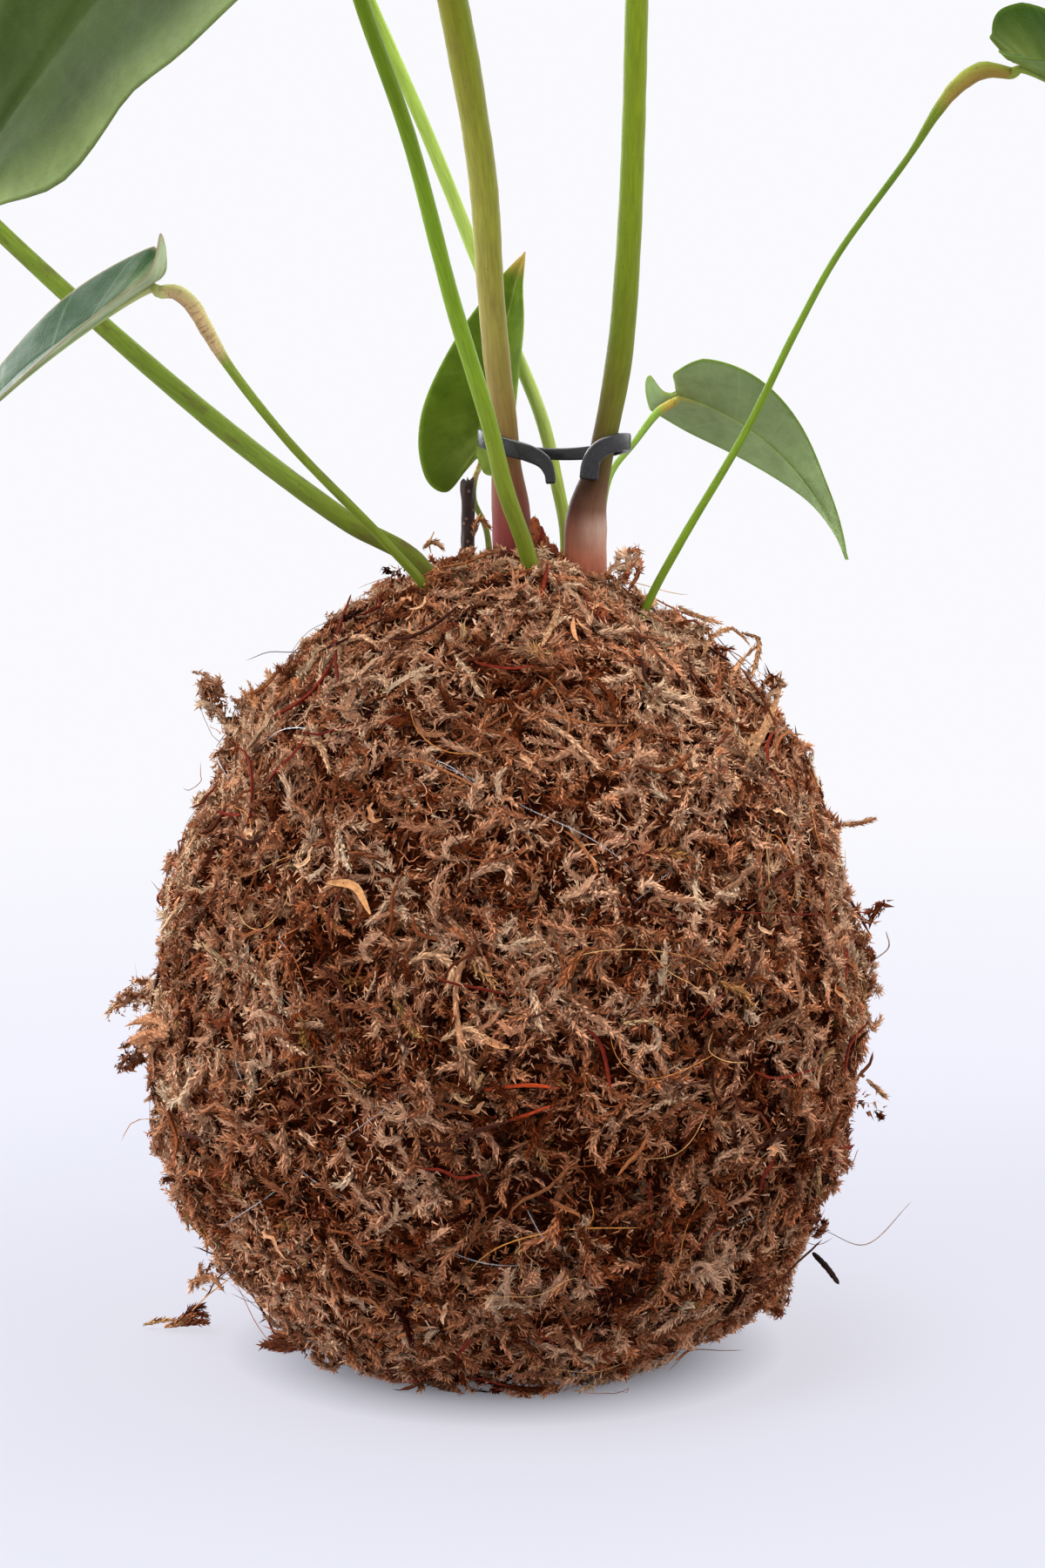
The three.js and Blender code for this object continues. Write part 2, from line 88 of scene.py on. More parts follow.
class Nodes:
    """A node tree, with short calls for the nodes used here."""

    def __init__(self, owner):
        owner.use_nodes = True
        self.owner, self.tree, self.place = owner, owner.node_tree, None
        self.tree.nodes.clear()

    def new(self, kind, inputs, **settings):
        node = self.tree.nodes.new("ShaderNode" + kind)
        for name, value in settings.items():
            setattr(node, name, value)
        for name, value in inputs.items():
            self.put(value, node.inputs[name])
        return node

    def put(self, value, socket):
        if isinstance(value, bpy.types.NodeSocket):
            self.tree.links.new(value, socket)
        else:
            socket.default_value = (*value, 1) if socket.type == "RGBA" else value

    def math(self, operation, *values, clamp=False):
        return self.new("Math", dict(enumerate(values)), operation=operation, use_clamp=clamp).outputs[0]

    def product(self, a, b, clamp=False):
        return self.math("MULTIPLY", a, b, clamp=clamp)


class Skin(Nodes):
    """A material with one shader."""

    def __init__(self, name):
        super().__init__(bpy.data.materials.new(name))
        self.shader = self.new("BsdfPrincipled", {})
        self.output = self.new("OutputMaterial", {"Surface": self.shader.outputs[0]})

    def attribute(self, name, output="Fac"):
        return self.new("Attribute", {}, attribute_name=name).outputs[output]

    def coordinates(self):
        self.place = self.place or self.new("TexCoord", {}).outputs["Object"]
        return self.place

    def stretched(self, scale, vector=None):
        return self.new("Mapping", {"Vector": vector or self.coordinates(), "Scale": scale}).outputs[0]

    def noise(self, scale, detail=3, roughness=0.55, vector=None):
        where = vector or self.coordinates()
        inputs = {"Vector": where, "Scale": scale, "Detail": detail, "Roughness": roughness}
        return self.new("TexNoise", inputs).outputs["Fac"]

    def cells(self, scale, feature="DISTANCE_TO_EDGE", vector=None):
        inputs = {"Vector": vector or self.coordinates(), "Scale": scale}
        return self.new("TexVoronoi", inputs, feature=feature).outputs["Distance"]

    def span(self, value, low, high, to_low=0.0, to_high=1.0):
        inputs = {"Value": value, "From Min": low, "From Max": high, "To Min": to_low, "To Max": to_high}
        return self.new("MapRange", inputs).outputs[0]

    def spread(self, noise, low, high):
        """Noise over its usual range, spread from low to high."""
        return self.span(noise, 0.3, 0.7, low, high)

    def mix(self, share, a, b, blend="MIX"):
        inputs = {"Factor": share, "A": a, "B": b}
        return self.new("Mix", inputs, data_type="RGBA", blend_type=blend).outputs["Result"]

    def ramp(self, value, *stops):
        node = self.new("ValToRGB", {"Fac": value})
        elements = node.color_ramp.elements
        while len(elements) < len(stops):
            elements.new(0.5)
        for element, (position, colour) in zip(elements, stops):
            element.position = position
            element.color = (*linear(colour), 1)
        return node.outputs["Color"]

    def bump(self, height, distance, strength=1.0):
        inputs = {"Height": height, "Distance": distance * MM, "Strength": strength}
        self.put(self.new("Bump", inputs).outputs[0], self.shader.inputs["Normal"])

    def tinted(self, low, high, scale, detail=3, vector=None):
        """The mesh's own tint, darkened and lightened by noise between two factors."""
        factor = self.spread(self.noise(scale, detail, vector=vector), low, high)
        inputs = {0: self.attribute("tint", "Color"), "Scale": factor}
        return self.new("VectorMath", inputs, operation="SCALE").outputs[0]

    def set(self, colour, roughness, specular, **values):
        values = {"Base Color": colour, "Roughness": roughness, "Specular IOR Level": specular, **values}
        for name, value in values.items():
            self.put(value, self.shader.inputs[name.replace("_", " ")])
        return self.owner


# meshes


def unit(v):
    return v / np.maximum(np.linalg.norm(v, axis=-1, keepdims=True), 1e-9)


def dot(a, b):
    return (a * b).sum(-1, keepdims=True)


def turned(v, axis, angle):
    """v, square to axis, turned about it."""
    return v * np.cos(angle) + np.cross(axis, v) * np.sin(angle)


def held(v):
    """v, held within 0 and 1."""
    return np.clip(v, 0, 1)


def bell(v):
    """1 at 0, and less to either side."""
    return np.exp(-(v**2))


def blended(a, b, share):
    share = np.asarray(share)[..., None]
    return a * (1 - share) + b * share


def around(count):
    """Angles evenly round a circle."""
    return 2 * math.pi * np.arange(count) / count


WELD = 0.004


def piece(name, points, faces, material, replaces=(), tint=None, values=None, smooth=True, weld=False):
    """A piece of the object: points in millimetres, faces of 3 or 4 corners, and what its points carry."""
    mesh = bpy.data.meshes.new(name)
    faces = np.asarray(faces, np.int32)
    count, corners = faces.shape
    mesh.vertices.add(len(points))
    mesh.vertices.foreach_set("co", (np.asarray(points) * MM).astype(np.float32).ravel())
    mesh.loops.add(count * corners)
    mesh.loops.foreach_set("vertex_index", faces.ravel())
    mesh.polygons.add(count)
    mesh.polygons.foreach_set("loop_start", np.arange(0, count * corners, corners, dtype=np.int32))
    mesh.polygons.foreach_set("use_smooth", np.full(count, smooth))
    mesh.update(calc_edges=True)
    if tint is not None:
        colours = np.concatenate([held(tint), np.ones((len(points), 1))], 1)
        layer = mesh.color_attributes.new("tint", "FLOAT_COLOR", "POINT")
        layer.data.foreach_set("color", colours.astype(np.float32).ravel())
    for key, value in (values or {}).items():
        value = np.asarray(value, np.float32)
        kind, field = ("FLOAT_VECTOR", "vector") if value.ndim == 2 else ("FLOAT", "value")
        mesh.attributes.new(key, kind, "POINT").data.foreach_set(field, value.ravel())
    if weld:
        solid = bmesh.new()
        solid.from_mesh(mesh)
        bmesh.ops.remove_doubles(solid, verts=solid.verts, dist=WELD * MM)
        solid.to_mesh(mesh)
        solid.free()
    mesh.validate()
    mesh.materials.append(material)
    made = placed(name, mesh)
    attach(made, "root")
    if replaces:
        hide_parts(*replaces)


def grid(rows, columns, closed=False):
    """Faces of a grid of points, row by row. The rows of a closed grid run round."""
    k, s = np.meshgrid(np.arange(rows - 1), np.arange(columns - (not closed)), indexing="ij")
    a, b = (k * columns + s).ravel(), (k * columns + (s + 1) % columns).ravel()
    return np.stack([a, b, b + columns, a + columns], 1)


def triangles(quads, *caps):
    return np.concatenate([quads[:, :3], quads[:, [0, 2, 3]], *caps])


def tube_faces(rings, sides, foot, head, first=0):
    """Faces of a tube of rings, closed to a foot point and a head point."""
    s = np.arange(sides)
    after, last = (s + 1) % sides, first + (rings - 1) * sides
    caps = (first + after, first + s, 0 * s + foot), (last + s, last + after, 0 * s + head)
    return triangles(grid(rings, sides, True) + first, *(np.stack(cap, 1) for cap in caps))


# the outside of the moss
BALL_RADIUS = 56
BALL_MIDDLE = np.array([0, 0, 60.0])
MOUND_RISE = 69
FOOT_DROP = 63
MOUND_FULLNESS = 1.85
FOOT_FULLNESS = 2.45
LUMP_HEIGHT = 1.5
BULGE = 1
SWELL = 2.6
SWELL_PLACE, SWELL_SIZE = np.array([-56, -6, 36.0]), np.array([22, 24, 13.0])
FLOOR_GAP = 0.12
CAVITY_RADIUS, LEAST_AREA, LEAST_FACING = 50, 1e-4, 0.1
REST_HEIGHT, REST_FACING, REST_SHARE = 1.2, -0.8, 0.05


def moss_reach(way):
    """Distance from the ball's middle to the smooth outside of the moss."""
    level = np.hypot(way[..., 0], way[..., 1]) / BALL_RADIUS
    above = way[..., 2] > 0
    power = np.where(above, MOUND_FULLNESS, FOOT_FULLNESS)
    rise = np.abs(way[..., 2]) / np.where(above, MOUND_RISE, FOOT_DROP)
    return (level**power + rise**power) ** (-1 / power)


def moss_lumps(way):
    x, y, z = way[..., 0], way[..., 1], way[..., 2]
    waves = np.sin(11 * x + 4 * y + 1.3) + np.sin(12 * y - 7 * z + 0.4)
    waves += np.sin(14 * z + 6 * x + 2.2) + np.sin(17 * (x - y) + 5 * z + 4.1)
    return LUMP_HEIGHT * 0.5 * waves + BULGE * x


def outer_faces():
    """The moss node's points, and its faces that look outward: not its cavity or its holes."""
    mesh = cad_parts["moss_ball"].data
    mesh.calc_loop_triangles()
    points = np.array([v.co for v in mesh.vertices]) / MM
    corners = np.array([t.vertices for t in mesh.loop_triangles])
    a, b, c = points[corners.T]
    normal = np.cross(b - a, c - a)
    area = np.linalg.norm(normal, axis=1) / 2
    outward = (a + b + c) / 3 - BALL_MIDDLE
    keep = (np.linalg.norm(outward, axis=1) > CAVITY_RADIUS) & (area > LEAST_AREA)
    keep &= dot(unit(normal), unit(outward))[:, 0] > LEAST_FACING
    return points, corners[keep], unit(normal[keep]), area[keep]


cad_points, cad_faces, cad_normals, cad_areas = outer_faces()
outside = BVHTree.FromPolygons(cad_points.tolist(), cad_faces.tolist())


def settled(points):
    """The nearest place on the outside of the moss to each point, and the way out of it there."""
    found = np.array([outside.find_nearest(point)[:2] for point in points.tolist()])
    return found[:, 0], found[:, 1]


def waves(points, size, seed, terms=7):
    """Smooth noise of about -1 to 1 with features of that size."""
    own = np.random.default_rng(seed)
    ways = unit(own.normal(size=(terms, 3))) * 2 * math.pi / size
    ways *= own.uniform(0.7, 1.5, (terms, 1))
    return np.sin(points @ ways.T + own.uniform(0, 6.3, terms)).sum(-1) / math.sqrt(terms) / 0.9


def swell(points):
    """How far the loose moss stands out more than elsewhere."""
    return SWELL * np.exp(-(((points - SWELL_PLACE) / SWELL_SIZE) ** 2).sum(-1))


def scattered(count):
    """Random places on the outside of the moss, spread by area, with few where it rests."""
    share = cad_areas.copy()
    low = cad_points[cad_faces].mean(1)[:, 2] < REST_HEIGHT
    share[low & (cad_normals[:, 2] < REST_FACING)] *= REST_SHARE
    chosen = rng.choice(len(share), count, p=share / share.sum())
    mixing = rng.dirichlet((1, 1, 1), count)
    return (cad_points[cad_faces[chosen]] * mixing[:, :, None]).sum(1), cad_normals[chosen]


def spines(places, ways, headings, length, steps, bend, curl):
    """Lines that follow the moss from each place. bend is the whole turn, curl the chance turn at a step."""
    count = len(places)
    line = np.empty((count, steps, 3))
    normal = np.empty_like(line)
    stride = (length / (steps - 1))[:, None]
    place, out, heading = places, ways, headings
    for k in range(steps):
        if k:
            place, out = settled(place)
        heading = unit(heading - out * dot(heading, out))
        line[:, k], normal[:, k] = place, out
        heading = turned(heading, out, (bend / (steps - 1))[:, None] + rng.normal(0, 1, (count, 1)) * curl)
        place = place + heading * stride
    for _ in range(2):
        line[:, 1:-1] = (line[:, :-2] + 2 * line[:, 1:-1] + line[:, 2:]) / 4
        normal[:, 1:-1] = normal[:, :-2] + normal[:, 1:-1] + normal[:, 2:]
        normal = unit(normal)
    return line, normal


def lifted(line, normal, height, first, last, sway):
    """Spines raised off the moss by height, more at either end, and swayed sideways."""
    count, steps, _ = line.shape
    t = np.linspace(0, 1, steps)[None, :]
    rise = height[:, None] + swell(line) + first[:, None] * (1 - t) ** 2.2 + last[:, None] * t**2.2
    across = unit(np.cross(np.gradient(line, axis=1), normal))
    phase = rng.uniform(0, 6.3, (count, 1, 2))
    swing = np.sin(phase + t[:, :, None] * rng.uniform(5, 12, (count, 1, 2))) * sway[:, None, None]
    return line + normal * (rise[:, :, None] + swing[:, :, :1] * 0.5) + across * swing[:, :, 1:]


def axes_of(line, normal):
    tangent = unit(np.gradient(line, axis=1))
    side = unit(np.cross(tangent, normal))
    return tangent, side, np.cross(side, tangent)


def tubes(line, normal, radius, sides, flat=0.8, rough=0.22, taper=2.6, start=0.35):
    """Closed tubes along lines, pointed at both ends: points, faces and where along each point is."""
    count, steps, _ = line.shape
    _, side, top = axes_of(line, normal)
    t = np.linspace(0, 1, steps)
    girth = start + (1 - start) * (1 - np.abs(2 * t - 1) ** taper)
    girth = radius[:, None] * girth[None, :] * rng.uniform(1 - rough, 1 + rough, (count, steps))
    angle = (around(sides) + rng.uniform(0, 6.3, (count, 1, 1)))[..., None]
    out = np.cos(angle) * side[:, 1:-1, None] + flat * np.sin(angle) * top[:, 1:-1, None]
    ring = line[:, 1:-1, None] + girth[:, 1:-1, None, None] * out
    points = np.concatenate([line[:, :1], ring.reshape(count, -1, 3), line[:, -1:]], 1)
    along = np.concatenate([[0], np.repeat(t[1:-1], sides), [1]])
    faces = tube_faces(steps - 2, sides, 0, 1 + (steps - 2) * sides, 1)
    return points, faces, np.broadcast_to(along, (count, len(along)))


def sampled(values, t):
    """Values along each line at t, a row of shares of its length."""
    steps = values.shape[1]
    place = np.clip(t * (steps - 1), 0, steps - 1.001)
    below = place.astype(int)
    part = (place - below)[..., None]
    rows = np.arange(len(values))[:, None]
    return values[rows, below] * (1 - part) + values[rows, below + 1] * part


LEAFLET_TURN = 2.5  # how far round a strand its leaves stand, either way from the top
LEAFLET_STEP = 0.618  # the turn from leaf to leaf
LEAFLET_SHADED_FOOT, LEAFLET_LIT_TIP = 0.62, 1.26  # painted shade at a leaf's foot and painted light at its tip


def leaflets(line, normal, radius, number, size, width, spread):
    """Small pointed leaves laid up a strand, tips forward and a little out: corners, faces and lightness,
    which holds painted light on leaves atop the strand and at their tips and painted shade at their feet.
    """
    shape = len(line), number
    j = np.arange(number)[None, :]
    t = (j + 0.5 + rng.uniform(-0.4, 0.4, shape)) / number * 0.97
    at, *ways = (sampled(v, t) for v in (line, *axes_of(line, normal)))
    forward, left, up = (unit(way) for way in ways)
    turn = (j * LEAFLET_STEP + rng.uniform(0, 1, (len(line), 1))) % 1
    angle = (math.pi / 2 + LEAFLET_TURN * (2 * turn - 1))[..., None]
    radial = np.cos(angle) * left + np.sin(angle) * up
    fullness = 1 - 0.5 * np.abs(2 * t - 1) ** 3
    lean = rng.normal(spread[:, None], 0.18, shape)[..., None]
    way = unit(forward * np.cos(lean) + radial * np.sin(lean) + rng.normal(0, 0.14, (*shape, 3)))
    long = (size[:, None] * fullness * rng.uniform(0.7, 1.35, shape))[..., None]
    wide = (width[:, None] * fullness * rng.uniform(0.7, 1.3, shape))[..., None]
    foot = at + radial * (radius[:, None] * fullness)[..., None] * 0.75 - way * long * 0.12
    across = unit(np.cross(way, radial + rng.normal(0, 0.3, (*shape, 3))))
    corners = np.stack([foot - across * wide / 2, foot + way * long, foot + across * wide / 2], 2)
    # Leaves on top of the strand are painted lighter and those beneath darker, as light falls; the rest is
    # random tone, paler towards the strand's end.
    tone_and_painted_light = (0.92 + 0.26 * np.sin(angle[..., 0])) * rng.uniform(0.78, 1.2, shape) * (0.8 + 0.35 * t)
    tone_and_painted_light = tone_and_painted_light[..., None] * [LEAFLET_SHADED_FOOT, LEAFLET_LIT_TIP, LEAFLET_SHADED_FOOT]
    faces = np.arange(number * 3).reshape(-1, 3)
    return corners.reshape(len(line), -1, 3), faces, tone_and_painted_light.reshape(len(line), -1, 1)


# colours of the moss, by tone from dark to pale
TONES = [
    (0, (40, 6, 2)), (0.25, (112, 51, 23)), (0.5, (178, 116, 80)), (0.75, (222, 172, 137)),
    (1, (242, 208, 172)),
]
# Other colours of dry moss: how often, the colour, and how strongly
OTHER_TONES = [
    (0.12, (192, 108, 60), 0.45), (0.04, (124, 48, 26), 0.5), (0.014, (146, 120, 54), 0.45),
    (0.05, (160, 112, 82), 0.4), (0.07, (236, 192, 150), 0.5),
]


MIDDLE_TONE = 0.51
PALE_FROM, PALE_LOSS = 0.3, 1.3  # the lightness that colours are dulled from, and how much


def stepped(at, places, colours):
    """Colours at places between stops."""
    return np.stack([np.interp(at, places, column) for column in linear(colours).T], -1)


def tone_colour(tone):
    return stepped(held(tone), *zip(*TONES))


def moss_colour(places, tone, spread=0.15):
    """A colour for each strand, by its place and by chance, with painted shade on the lower half of the ball
    and painted light at its top, its flanks and near the floor.
    """
    count = len(places)
    x, z = places[:, 0], places[:, 2]
    patch = 0.08 * waves(places, 34, 5) + 0.10 * waves(places, 13, 6) + 0.05 * waves(places, 6, 7)
    # Painted shade on the lower half of the ball, lifted near its top; painted light at both flanks, near
    # the floor and low on the left.
    painted_shade = 0.15 * bell((z - 40) / 26) - 0.06 * held((z - 76) / 26)
    painted_light = 0.17 * held((-x - 28) / 24) + 0.08 * held((x - 25) / 25) + 0.04 * held((14 - z) / 10)
    painted_light += 0.1 * bell((z - 14) / 16) * held((-x - 12) / 26)
    colour = tone_colour(MIDDLE_TONE + tone + patch - painted_shade + painted_light + rng.normal(0, spread, count))
    pick = rng.uniform(0, 1, count) - 0.08 * np.clip(waves(places, 22, 8), -1, 1)
    edge = 0.0
    for share, other, strength in OTHER_TONES:
        chosen = (pick >= edge) & (pick < edge + share)
        amount = strength * rng.uniform(0.6, 1.2, count)
        level = colour.mean(1, keepdims=True) / linear(other).mean()
        colour = blended(colour, linear(other) * np.clip(level, 0.3, 1.15), amount * chosen)
        edge += share
    return colour


skin = Skin("moss_strand")
fine = skin.noise(2600, 3, 0.6)
skin.bump(fine, 0.25, 0.7)
moss_material = skin.set(skin.tinted(0.66, 1.25, 1300), skin.spread(fine, 0.7, 0.95), 0.03)


class Batch:
    """Meshes that are gathered and then made into one piece of moss."""

    def __init__(self):
        self.points, self.faces, self.tints, self.count = [], [], [], 0

    def add(self, points, faces, colours):
        """points (copies, corners, 3), the faces of one copy, and colours of each point."""
        copies, corners, _ = points.shape
        points = points.reshape(-1, 3).copy()
        points[:, 2] = np.maximum(points[:, 2], FLOOR_GAP)
        self.points.append(points)
        shifts = self.count + np.arange(copies)[:, None, None] * corners
        self.faces.append((np.asarray(faces)[None] + shifts).reshape(-1, 3))
        colours = colours.reshape(-1, 3)
        pale = np.maximum(colours.mean(1, keepdims=True) - PALE_FROM, 0)
        self.tints.append(colours / (1 + PALE_LOSS * pale))
        self.count += len(points)

    def make(self, name, slot="moss"):
        points, faces, tints = (np.concatenate(v) for v in (self.points, self.faces, self.tints))
        piece(name, points, faces, moss_material, tint=tints, smooth=False)


def shaded(colour, along, low, high):
    """A strand's colour at its points, from low at 0 to high at 1."""
    return colour[:, None, :] * (low + (high - low) * along)[..., None]


def grow(batch, line, normal, radius, colour, sides, number, size, width, spread):
    """Strands with small leaves laid up them."""
    points, faces, along = tubes(line, normal, radius * 0.85, sides)
    # The strand's core is painted dark, as shade among its leaves.
    batch.add(points, faces, shaded(colour, along, 0.38, 0.68))
    points, faces, tone_and_painted_light = leaflets(line, normal, radius, number, size, width, spread)
    batch.add(points, faces, colour[:, None, :] * tone_and_painted_light)


def random_headings(ways):
    return unit(np.cross(ways, rng.normal(size=ways.shape)))


CLUMP_WIDTH, CLUMP_TONE, CLUMP_TURN = 2.4, 0.09, 0.6
STRAND_CURL = 0.24


def clumped(count, each):
    """Places in clumps of so many, each clump with a heading and a tone that its places keep near to."""
    centres, outs = scattered(count // each)
    headings = random_headings(outs)
    tones = rng.normal(0, CLUMP_TONE, len(centres))
    if each > 1:
        found = centres, outs, headings, tones
        centres, outs, headings, tones = (np.repeat(v, each, axis=0) for v in found)
        shift = rng.normal(0, CLUMP_WIDTH, (len(centres), 2, 1))
        centres, outs = settled(centres + headings * shift[:, 0] + np.cross(outs, headings) * shift[:, 1])
        headings = unit(headings - outs * dot(headings, outs))
        headings = turned(headings, outs, rng.normal(0, CLUMP_TURN, (len(centres), 1)))
    return centres, outs, headings, tones


def layer(name, count, each, steps, number, length, radius, height, lift, tone, bend=1.4, thin=-9):
    """One layer of strands over the whole ball, in clumps. thin leaves pits bare."""
    found = clumped(count, each)
    kept = waves(found[0], 9, 21) + 0.8 * waves(found[0], 4.5, 22) > thin
    places, ways, headings, tones = (v[kept] for v in found)
    n = len(places)
    long = rng.uniform(*length, n)
    line, normal = spines(places, ways, headings, long, steps, rng.normal(0, bend, n), STRAND_CURL)
    ends = rng.uniform(0, 1, (2, n)) ** 2.2 * lift
    line = lifted(line, normal, rng.uniform(*height, n), ends[0] * 0.5, ends[1], rng.uniform(0.15, 0.6, n))
    batch = Batch()
    grow(
        batch, line, normal, rng.uniform(*radius, n), moss_colour(places, tone + tones), 3, number,
        rng.uniform(0.7, 1.4, n), rng.uniform(0.36, 0.64, n), rng.uniform(0.35, 0.9, n),
    )
    batch.make(name)


def litter(name, height, tone, size, width, count=42000):
    """Loose moss leaves that lie every way between the strands."""
    places, ways = scattered(count)
    tilt = rng.uniform(-0.5, 1.1, (count, 1))
    way = random_headings(ways) * np.cos(tilt) + ways * np.sin(tilt)
    across = unit(np.cross(way, ways + rng.normal(0, 0.5, (count, 3)))) * rng.uniform(*width, (count, 1)) / 2
    foot = places + ways * (rng.uniform(*height, (count, 1)) + swell(places)[:, None])
    corners = np.stack([foot - across, foot + way * rng.uniform(*size, (count, 1)), foot + across], 1)
    batch = Batch()
    # Each loose leaf is painted darker at its foot and lighter at its tip: painted shade and light.
    tip = np.broadcast_to([0.0, 1.0, 0.0], (count, 3))
    batch.add(corners, [(0, 1, 2)], shaded(moss_colour(places, tone, 0.2), tip, 0.7, 1.15))
    batch.make(name)


# The mat's tone is near the darkest: painted shade in the gaps between the strands.
MAT_DEPTH, MAT_GAP, MAT_SHADE_TONE = 2.4, 0.3, 0.02
NODE_BELOW, NODE_ABOVE = -3, 4  # how far the node's surface may be from the smooth one


def mat_surface(faces=66, far=140.0):
    """Matted moss under the strands, a dark moss painted darker still as shade in the gaps between them:
    points spread evenly over the ball, faces and tints.
    """
    s = np.tan((np.linspace(0, 1, faces + 1) * 2 - 1) * math.pi / 4)
    a, b = np.meshgrid(s, s, indexing="ij")
    one = np.ones_like(a)
    sheets = [(one, a, b), (-one, b, a), (b, one, a), (a, -one, b), (a, b, one), (b, a, -one)]
    ways = np.concatenate([unit(np.stack(sheet, -1).reshape(-1, 3)) for sheet in sheets])
    quads = grid(faces + 1, faces + 1)[:, [0, 3, 2, 1]]
    quads = np.concatenate([quads + k * a.size for k in range(len(sheets))])
    reach = moss_reach(ways) + moss_lumps(ways)
    for i, way in enumerate(ways):
        hit, _, _, distance = outside.ray_cast((BALL_MIDDLE + way * far).tolist(), (-way).tolist(), far)
        if hit is not None and NODE_BELOW < far - distance - reach[i] < NODE_ABOVE:
            reach[i] = far - distance
    points = BALL_MIDDLE + ways * reach[:, None]
    rough = 0.55 * waves(points, 3.2, 31) + 0.5 * waves(points, 1.9, 32) + 0.35 * waves(points, 7, 33)
    points = BALL_MIDDLE + ways * (reach - MAT_DEPTH + rough + swell(points))[:, None]
    points[:, 2] = np.maximum(points[:, 2], MAT_GAP)
    tone = MAT_SHADE_TONE + 0.12 * rng.uniform(0, 1, len(points)) + 0.05 * waves(points, 6, 34)
    return points, quads, tone_colour(tone)


mat_points, mat_quads, mat_tint = mat_surface()
skin = Skin("moss_mat")
fine = skin.noise(1500, 4, 0.65)
skin.bump(fine, 0.6)
mat_material = skin.set(skin.tinted(0.35, 1.3, 900, 4), skin.spread(fine, 0.85, 1.0), 0.04)
piece("moss_mat", mat_points, mat_quads, mat_material, ("moss_ball",), tint=mat_tint, weld=True)

# The layers' tones run from dark low down to pale high up: painted shade by depth among the strands.
litter("moss_litter_low", (-1.9, -0.5), -0.24, (0.9, 2.0), (0.4, 0.9))
layer("moss_under", 3400, 1, 5, 14, (3.5, 7), (0.4, 0.7), (-1.4, -0.3), 1.0, -0.2)
layer("moss_middle_a", 4200, 5, 5, 28, (3.5, 7.5), (0.35, 0.7), (-0.8, 0.2), 1.6, -0.04, thin=-1.1)
layer("moss_middle_b", 4200, 4, 5, 29, (3.5, 7.5), (0.35, 0.65), (-0.5, 0.6), 2.0, 0.02, 2.2, -1.0)
layer("moss_over", 3400, 4, 6, 40, (4, 10), (0.4, 0.8), (0, 1.3), 2.8, 0.08, 2.4, -0.5)
litter("moss_litter_high", (-0.8, 1.0), 0.02, (0.7, 1.8), (0.2, 0.5))

# twigs, hairs, flakes and heads among the strands
WOOD = [(84, 40, 24), (122, 66, 38), (60, 30, 22), (150, 92, 56), (112, 38, 26)]
HAIR = [(190, 122, 62), (150, 78, 40), (110, 34, 24), (206, 160, 104), (70, 36, 26)]
PALE_MOSS = [(206, 152, 112), (190, 134, 94), (222, 176, 136)]


def picked(colours, count):
    return linear(colours)[rng.integers(len(colours), size=count)] * rng.uniform(0.75, 1.2, (count, 1))


def random_lines(count, length, steps, height, lift, bend, curl=0.12):
    places, ways = scattered(count)
    headings, long = random_headings(ways), rng.uniform(*length, count)
    line, normal = spines(places, ways, headings, long, steps, rng.normal(0, bend, count), curl)
    ends = rng.uniform(0, 1, (2, count)) ** 2 * lift
    return lifted(line, normal, rng.uniform(*height, count), *ends, rng.uniform(0.1, 0.5, count)), normal


def bare(batch, line, normal, radius, colour, sides=4):
    points, faces, along = tubes(line, normal, radius, sides, 1.0, 0.1, start=0.5)
    batch.add(points, faces, shaded(colour, along, 0.75, 1.1))


def flakes(batch, line, normal, width, colour):
    """Papery strips, cupped across and pointed at both ends."""
    count, steps, _ = line.shape
    _, side, top = axes_of(line, normal)
    t = np.linspace(0, 1, steps)
    half = (width[:, None] * np.sin(math.pi * (0.06 + 0.9 * t)) ** 0.7 / 2)[..., None]
    ring = np.stack([line - side * half + top * half * 0.5, line, line + side * half + top * half * 0.5], 2)
    tints = shaded(colour, np.repeat(t, 3)[None, :], 0.8, 1.1)
    batch.add(ring.reshape(count, -1, 3), triangles(grid(steps, 3)), tints)


def heads(count, arms=11, steps=4):
    """Tops of moss plants: short branches that spread from one place."""
    places, ways = (np.repeat(v, arms, axis=0) for v in scattered(count))
    lean = rng.uniform(0.35, 1.5, (len(places), 1))
    way = ways * np.cos(lean) + random_headings(ways) * np.sin(lean)
    t = np.linspace(0, 1, steps)[None, :, None]
    long = rng.uniform(1.6, 3.2, (len(places), 1))[:, None]
    line = (places + ways * 0.6)[:, None] + way[:, None] * long * t - ways[:, None] * 0.8 * t**2
    colour = moss_colour(places, 0.14 + np.repeat(rng.normal(0, 0.08, count), arms), 0.06)
    batch, one = Batch(), np.ones(len(places))
    normal = np.broadcast_to(ways[:, None], line.shape)
    grow(batch, line, normal, 0.36 * one, colour, 3, 10, 0.9 * one, 0.4 * one, 0.6 * one)
    batch.make("moss_heads")


TWIGS, HAIRS, FLAKES, CURLS = 320, 170, 110, 1500
heads(150)
loose = Batch()
line, normal = random_lines(TWIGS, (6, 16), 8, (0.5, 1.6), 3.0, 0.8)
bare(loose, line, normal, rng.uniform(0.14, 0.36, TWIGS), picked(WOOD, TWIGS))
line, normal = random_lines(HAIRS, (9, 24), 14, (0.9, 2.2), 4.5, 2.0)
bare(loose, line, normal, rng.uniform(0.05, 0.09, HAIRS), picked(HAIR, HAIRS), 3)
line, normal = random_lines(FLAKES, (3, 6), 6, (0.4, 1.4), 1.6, 1.8)
flakes(loose, line, normal, rng.uniform(0.6, 1.2, FLAKES), picked(PALE_MOSS, FLAKES))
line, normal = random_lines(CURLS, (2, 5.5), 7, (-0.4, 1.2), 1.8, 3.2, 0.3)
bare(loose, line, normal, rng.uniform(0.05, 0.12, CURLS), moss_colour(line[:, 0], 0.12), 3)
loose.make("moss_fibres")

# stems


